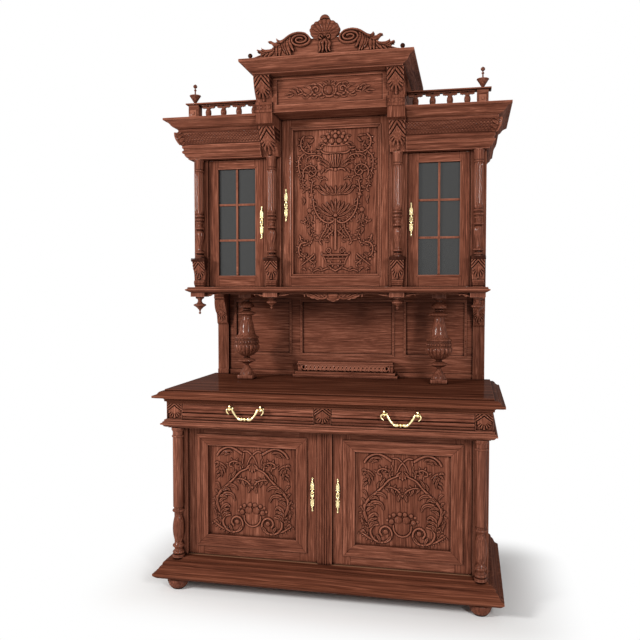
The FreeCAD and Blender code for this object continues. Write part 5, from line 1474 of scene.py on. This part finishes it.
class BUFFET_OT_cast_key_plates(bpy.types.Operator):
    """Dress the key plates with an outline of small lobes, a raised ring and a keyhole"""

    bl_idname = "buffet.cast_key_plates"
    bl_label = "Cast key plates"

    def execute(self, context):
        lobes = ((0, 72, 2.8), (0, 66, 2.6), (0, 60, 3.2), (0, 54.5, 3.8), (4.8, 49, 2.4), (0, 43, 2.8),
                 (5.8, 37, 2.4), (0, 30, 3.0), (7.2, 23, 2.6), (0, 18, 4.4), (0, 12.5, 4.8), (5.6, 9, 2.6))
        for door, x, z, face in KEY_PLATES:
            bm = bmesh.new()
            for across, up, radius in lobes:
                for flip_x in ((1,) if across == 0 else SIDES):
                    for flip_z in SIDES:
                        made = bmesh.ops.create_uvsphere(bm, u_segments=10, v_segments=6,
                                                         radius=radius)["verts"]
                        bmesh.ops.scale(bm, vec=(1.0, 0.75, 1.15), verts=made)
                        spot = (x + across * flip_x, BACK_Y - face - 2.2, z + up * flip_z)
                        bmesh.ops.translate(bm, vec=spot, verts=made)
            ring = [(5.2, 0), (7.6, 0), (7.6, 2.5), *bead(7.6, 2.5, 5.0, 4), (5.4, 4.5), (5.2, 0)]
            lathe(bm, ring, x, face + 1.5, z, steps=28, axis="Y")
            finish_piece(bm, f"brass_key_plate_{door}", door, "polished_brass")
            bm = bmesh.new()
            # A near-black disc and slot on the plate: painted shadow standing in for the keyhole's opening
            hole = [(TIP, 0), (2.6, 0), (2.6, 0.8), (TIP, 0.8)]
            lathe(bm, hole, x, face + 2.8, z + 1.5, steps=16, axis="Y")
            block(bm, (x - 1.1, x + 1.1), (face + 2.8, face + 3.6), (z - 5.0, z + 1.0), 0.2)
            finish_piece(bm, f"keyhole_{door}", door, "keyhole_soot")
        return {"FINISHED"}


# Half an arch of the galleries, from the middle of a baluster's top, as (across, up)
ARCH_HALF = (
    (0, 16), (-31, 16), (-31, 6), (-28, 2), (-24, 3), (-20, 0), (-16, 2.5), (-11, 1), (-8, -3), (0, -3),
    (0, 6.5), (-4, 7.5), (-6.3, 11), (-4, 14), (0, 15),
)


class BUFFET_OT_pierce_galleries(bpy.types.Operator):
    """Build the galleries: turned balusters under pierced arches, rails, and posts with a raised square"""

    bl_idname = "buffet.pierce_galleries"
    bl_label = "Pierce galleries"

    def execute(self, context):
        low, base, spring, cap, top = 2113.0, 2131.0, 2170.0, 2186.0, 2192.0
        inner, post_in, post_out, end = 330.0, 629.0, 678.0, 690.0
        middle = 397.0
        swell = smooth_path([(11.5, base + 6), (13.4, base + 14), (13.6, base + 22), (12, base + 31)], 4)
        profile = [(TIP, base), (11, base), (11, base + 3), (9, base + 4.5), *swell,
                   (9.5, base + 34), (9, base + 37), (11, spring), (TIP, spring)]
        bm = bmesh.new()
        for side in SIDES:
            def span(first, last, side=side):
                return tuple(sorted((first * side, last * side)))

            block(bm, span(inner, post_in), (384, 410), (low, base), 1.5)
            block(bm, span(inner, post_in), (386, 410), (cap - 4, cap), 0.8)
            block(bm, span(inner, end), (365.5, 428.5), (cap, top), 2.0)
            block(bm, span(post_in, post_out), (372.5, 421.5), (low, cap), 1.5)
            heart = (post_in + post_out) / 2
            heart_z = 2146
            for half, rise in ((15.0, 3.0), (6.0, 6.0)):
                block(bm, span(heart - half, heart + half), (415, 421.5 + rise),
                      (heart_z - half, heart_z + half), 1.2)
            for number in range(4):
                x = side * (inner + 74.0 * (number + 0.5))
                lathe(bm, profile, x, middle, steps=28)
                for flip in SIDES:
                    rim = [bm.verts.new((x + flip * a, BACK_Y - 391, spring + z)) for a, z in ARCH_HALF]
                    grown = bmesh.ops.extrude_face_region(bm, geom=[bm.faces.new(rim)])["geom"]
                    moved = [v for v in grown if isinstance(v, bmesh.types.BMVert)]
                    bmesh.ops.translate(bm, vec=(0, -12, 0), verts=moved)
        finish_piece(bm, "pierced_galleries", "case", "walnut_level", ["galleries"])
        return {"FINISHED"}


class BUFFET_OT_dress_niche(bpy.types.Operator):
    """Add the top fillet and interlace of the step shelf, and the boss and scrolls of the valances"""

    bl_idname = "buffet.dress_niche"
    bl_label = "Dress niche"

    def execute(self, context):
        bm = bmesh.new()
        block(bm, (-242, 242), (29, 89.5), (955, 959), 1.2)
        left, wide, count, thick = -224, 448, 22, 3.2
        pitch = wide / count
        arches = []
        for number in range(count - 1):
            start = left + pitch * number
            for depth, foot, rise in ((82.5, 928, 26), (80.5, 954, -26)):
                y = BACK_Y - depth
                arches.append([(start + pitch * (1 - math.cos(a)), y, foot + rise * math.sin(a), thick)
                               for a in np.linspace(0, math.pi, 9)])
        round_stems(bm, arches)
        finish_piece(bm, "step_shelf_dressing", "case", "walnut_lattice")
        bm = bmesh.new()
        front = BACK_Y - 396.0
        boss = bmesh.ops.create_uvsphere(bm, u_segments=32, v_segments=16, radius=1.0)["verts"]
        bmesh.ops.scale(bm, vec=(25, 11, 31), verts=boss)
        bmesh.ops.translate(bm, vec=(0, front + 2.0, 1310), verts=boss)
        bmesh.ops.bisect_plane(bm, geom=[*bm.verts, *bm.edges, *bm.faces], plane_co=(0, 0, 1312),
                               plane_no=(0, 0, 1), clear_outer=True)
        bmesh.ops.edgeloop_fill(bm, edges=[e for e in bm.edges if e.is_boundary])
        scrolls = []
        for side in SIDES:
            for path in ([(26, 1304, 3), (31, 1295, 4.2), (42, 1289.5, 5), (55, 1289.5, 5), (69, 1293, 4.4),
                          (85, 1301, 3.6), (101, 1309, 3), (116, 1313, 2)],
                         [(42, 1296, 2.2), (52, 1301, 3), (58, 1308, 3), (55, 1314, 2)],
                         [(62, 1299, 2), (73, 1304, 2.8), (81, 1311, 2.4)],
                         [(108, 1301, 1.6), (116, 1299, 2.6), (122, 1303, 2.6), (117, 1307, 1.8)],
                         [(132, 1298, 2), (133, 1305, 2.6), (133, 1313, 2)],
                         [(206, 1309, 1.5), (222, 1307, 2.6), (238, 1303, 3), (254, 1303, 2.2)]):
                scrolls.append([(side * x, front, z, r) for x, z, r in path])
            for path in ([(606, 1302), (590, 1306), (572, 1312), (560, 1310), (564, 1305)],
                         [(326, 1302), (342, 1306), (360, 1312), (372, 1310), (368, 1305)]):
                scrolls.append([(side * x, front, z, 2.4) for x, z in path])
        round_stems(bm, scrolls)
        finish_piece(bm, "valance_scrolls", "case", "walnut_level")
        return {"FINISHED"}


def soft_lamp(name, place, aim, wide, tall, power):
    """A large soft studio lamp."""
    data = bpy.data.lights.new(name, "AREA")
    data.shape = "ELLIPSE"
    data.size = wide
    data.size_y = tall
    data.energy = power
    lamp = bpy.data.objects.new(name, data)
    lamp.location = place
    lamp.rotation_euler = (Vector(aim) - Vector(place)).to_track_quat("-Z", "Y").to_euler()
    bpy.context.scene.collection.objects.link(lamp)


def seen_directly(tree):
    """1 for what the camera sees, also in a reflection or through glass, and 0 for light that falls."""
    rays = add_node(tree, "ShaderNodeLightPath").outputs
    through = calc(tree, "MAXIMUM", rays["Is Glossy Ray"], rays["Is Transmission Ray"])
    return calc(tree, "MAXIMUM", rays["Is Camera Ray"], through)


def lay_floor(tint):
    """A pale floor that fades to white away from the cabinet's footprint."""
    tree, shader, coords = new_material("studio_floor")
    cloud = noise(tree, coords.outputs["Object"], (3.0, 3.0, 3.0), 3.0)
    worn = [0.985 * c for c in tint]
    tree.links.new(blend(tree, cloud, rgba(worn), rgba(tint)), shader.inputs["Base Color"])
    shader.inputs["Roughness"].default_value = 0.7
    shader.inputs["Specular IOR Level"].default_value = 0.1
    parts = add_node(tree, "ShaderNodeSeparateXYZ", {0: coords.outputs["Object"]}).outputs
    half_wide, half_deep, fade_run = 0.76, 0.35, 0.34
    squares = []
    for axis, half in ((0, half_wide), (1, half_deep)):
        beyond = minus(tree, calc(tree, "ABSOLUTE", parts[axis]), half)
        squares.append(calc(tree, "POWER", calc(tree, "MAXIMUM", beyond, 0.0), 2.0))
    away = calc(tree, "SQRT", plus(tree, *squares))
    far = times(tree, ramp(tree, away, 0.0, fade_run), seen_directly(tree))
    glow = add_node(tree, "ShaderNodeEmission", {"Color": (1, 1, 1, 1), "Strength": 1.0})
    mixed = add_node(tree, "ShaderNodeMixShader", {0: far, 1: shader.outputs[0], 2: glow.outputs[0]})
    surface = next(n for n in tree.nodes if n.bl_idname == "ShaderNodeOutputMaterial")
    tree.links.new(mixed.outputs[0], surface.inputs[0])
    bm = bmesh.new()
    made = bmesh.ops.create_grid(bm, x_segments=8, y_segments=8, size=30.0)["verts"]
    bmesh.ops.translate(bm, vec=(0, 0, -0.0005), verts=made)
    mesh = bpy.data.meshes.new("studio_floor")
    bm.to_mesh(mesh)
    bm.free()
    mesh.materials.append(bpy.data.materials["studio_floor"])
    floor = bpy.data.objects.new("studio_floor", mesh)
    bpy.context.scene.collection.objects.link(floor)


def light_room(strength):
    """Even light from all round, in front of white."""
    world = bpy.data.worlds.new("studio_room")
    world.use_nodes = True
    bpy.context.scene.world = world
    tree = world.node_tree
    tree.nodes.clear()
    levels = {0: seen_directly(tree), 2: strength, 3: 1.0}
    level = add_node(tree, "ShaderNodeMix", levels, data_type="FLOAT").outputs[0]
    light = add_node(tree, "ShaderNodeBackground", {"Color": (1, 1, 1, 1), "Strength": level})
    tree.links.new(light.outputs[0], add_node(tree, "ShaderNodeOutputWorld").inputs[0])


class BUFFET_OT_set_stage(bpy.types.Operator):
    """Set the floor, room light, lamps and camera"""

    bl_idname = "buffet.set_stage"
    bl_label = "Set stage"

    def execute(self, context):
        scene = context.scene
        stage = scene.buffet_stage
        scene.view_settings.view_transform = "Standard"
        lay_floor(stage.floor)
        light_room(stage.sky)
        soft_lamp("key_lamp", (-2.9, -2.9, 2.35), (0.0, -0.1, 1.15), 0.9, 0.9, stage.key)
        soft_lamp("fill_lamp", (2.2, -3.4, 2.15), (0.0, -0.1, 1.1), 0.4, 1.4, stage.fill)
        data = bpy.data.cameras.new("camera")
        data.lens = stage.lens
        data.sensor_width = 36.0
        camera = bpy.data.objects.new("camera", data)
        camera.location = stage.eye
        camera.rotation_euler = (math.pi / 2 - stage.tilt, 0.0, stage.turn)
        scene.collection.objects.link(camera)
        scene.camera = camera
        return {"FINISHED"}


OPERATORS = (
    BUFFET_OT_finish_casework, BUFFET_OT_carve_lower_panels, BUFFET_OT_carve_centre_panel,
    BUFFET_OT_carve_leaf_blocks, BUFFET_OT_carve_centre_frieze, BUFFET_OT_weave_cornices,
    BUFFET_OT_carve_crest, BUFFET_OT_turn_upper_columns, BUFFET_OT_turn_vase_columns,
    BUFFET_OT_cast_drop_handles, BUFFET_OT_cast_key_plates, BUFFET_OT_pierce_galleries,
    BUFFET_OT_dress_niche, BUFFET_OT_set_stage,
)


class BUFFET_PT_workshop(bpy.types.Panel):
    """Lists the steps that dress the buffet"""

    bl_label = "Buffet"
    bl_idname = "BUFFET_PT_workshop"
    bl_space_type = "VIEW_3D"
    bl_region_type = "UI"
    bl_category = "Buffet"

    def draw(self, context):
        for step in OPERATORS:
            self.layout.operator(step.bl_idname)


CLASSES = (BuffetFinishes, BuffetCarving, BuffetStage, *OPERATORS, BUFFET_PT_workshop)


def register():
    """Adds the settings, steps and panel to Blender."""
    for made in CLASSES:
        bpy.utils.register_class(made)
    bpy.types.Scene.buffet_finishes = bpy.props.PointerProperty(type=BuffetFinishes)
    bpy.types.Scene.buffet_carving = bpy.props.PointerProperty(type=BuffetCarving)
    bpy.types.Scene.buffet_stage = bpy.props.PointerProperty(type=BuffetStage)


def unregister():
    """Takes the settings, steps and panel out again."""
    del bpy.types.Scene.buffet_stage
    del bpy.types.Scene.buffet_carving
    del bpy.types.Scene.buffet_finishes
    for made in reversed(CLASSES):
        bpy.utils.unregister_class(made)


def main():
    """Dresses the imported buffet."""
    register()
    bpy.ops.buffet.finish_casework()
    bpy.ops.buffet.carve_lower_panels()
    bpy.ops.buffet.carve_centre_panel()
    bpy.ops.buffet.carve_leaf_blocks()
    bpy.ops.buffet.carve_centre_frieze()
    bpy.ops.buffet.weave_cornices()
    bpy.ops.buffet.carve_crest()
    bpy.ops.buffet.turn_upper_columns()
    bpy.ops.buffet.turn_vase_columns()
    bpy.ops.buffet.cast_drop_handles()
    bpy.ops.buffet.cast_key_plates()
    bpy.ops.buffet.pierce_galleries()
    bpy.ops.buffet.dress_niche()
    bpy.ops.buffet.set_stage()


if __name__ == "__main__":
    main()
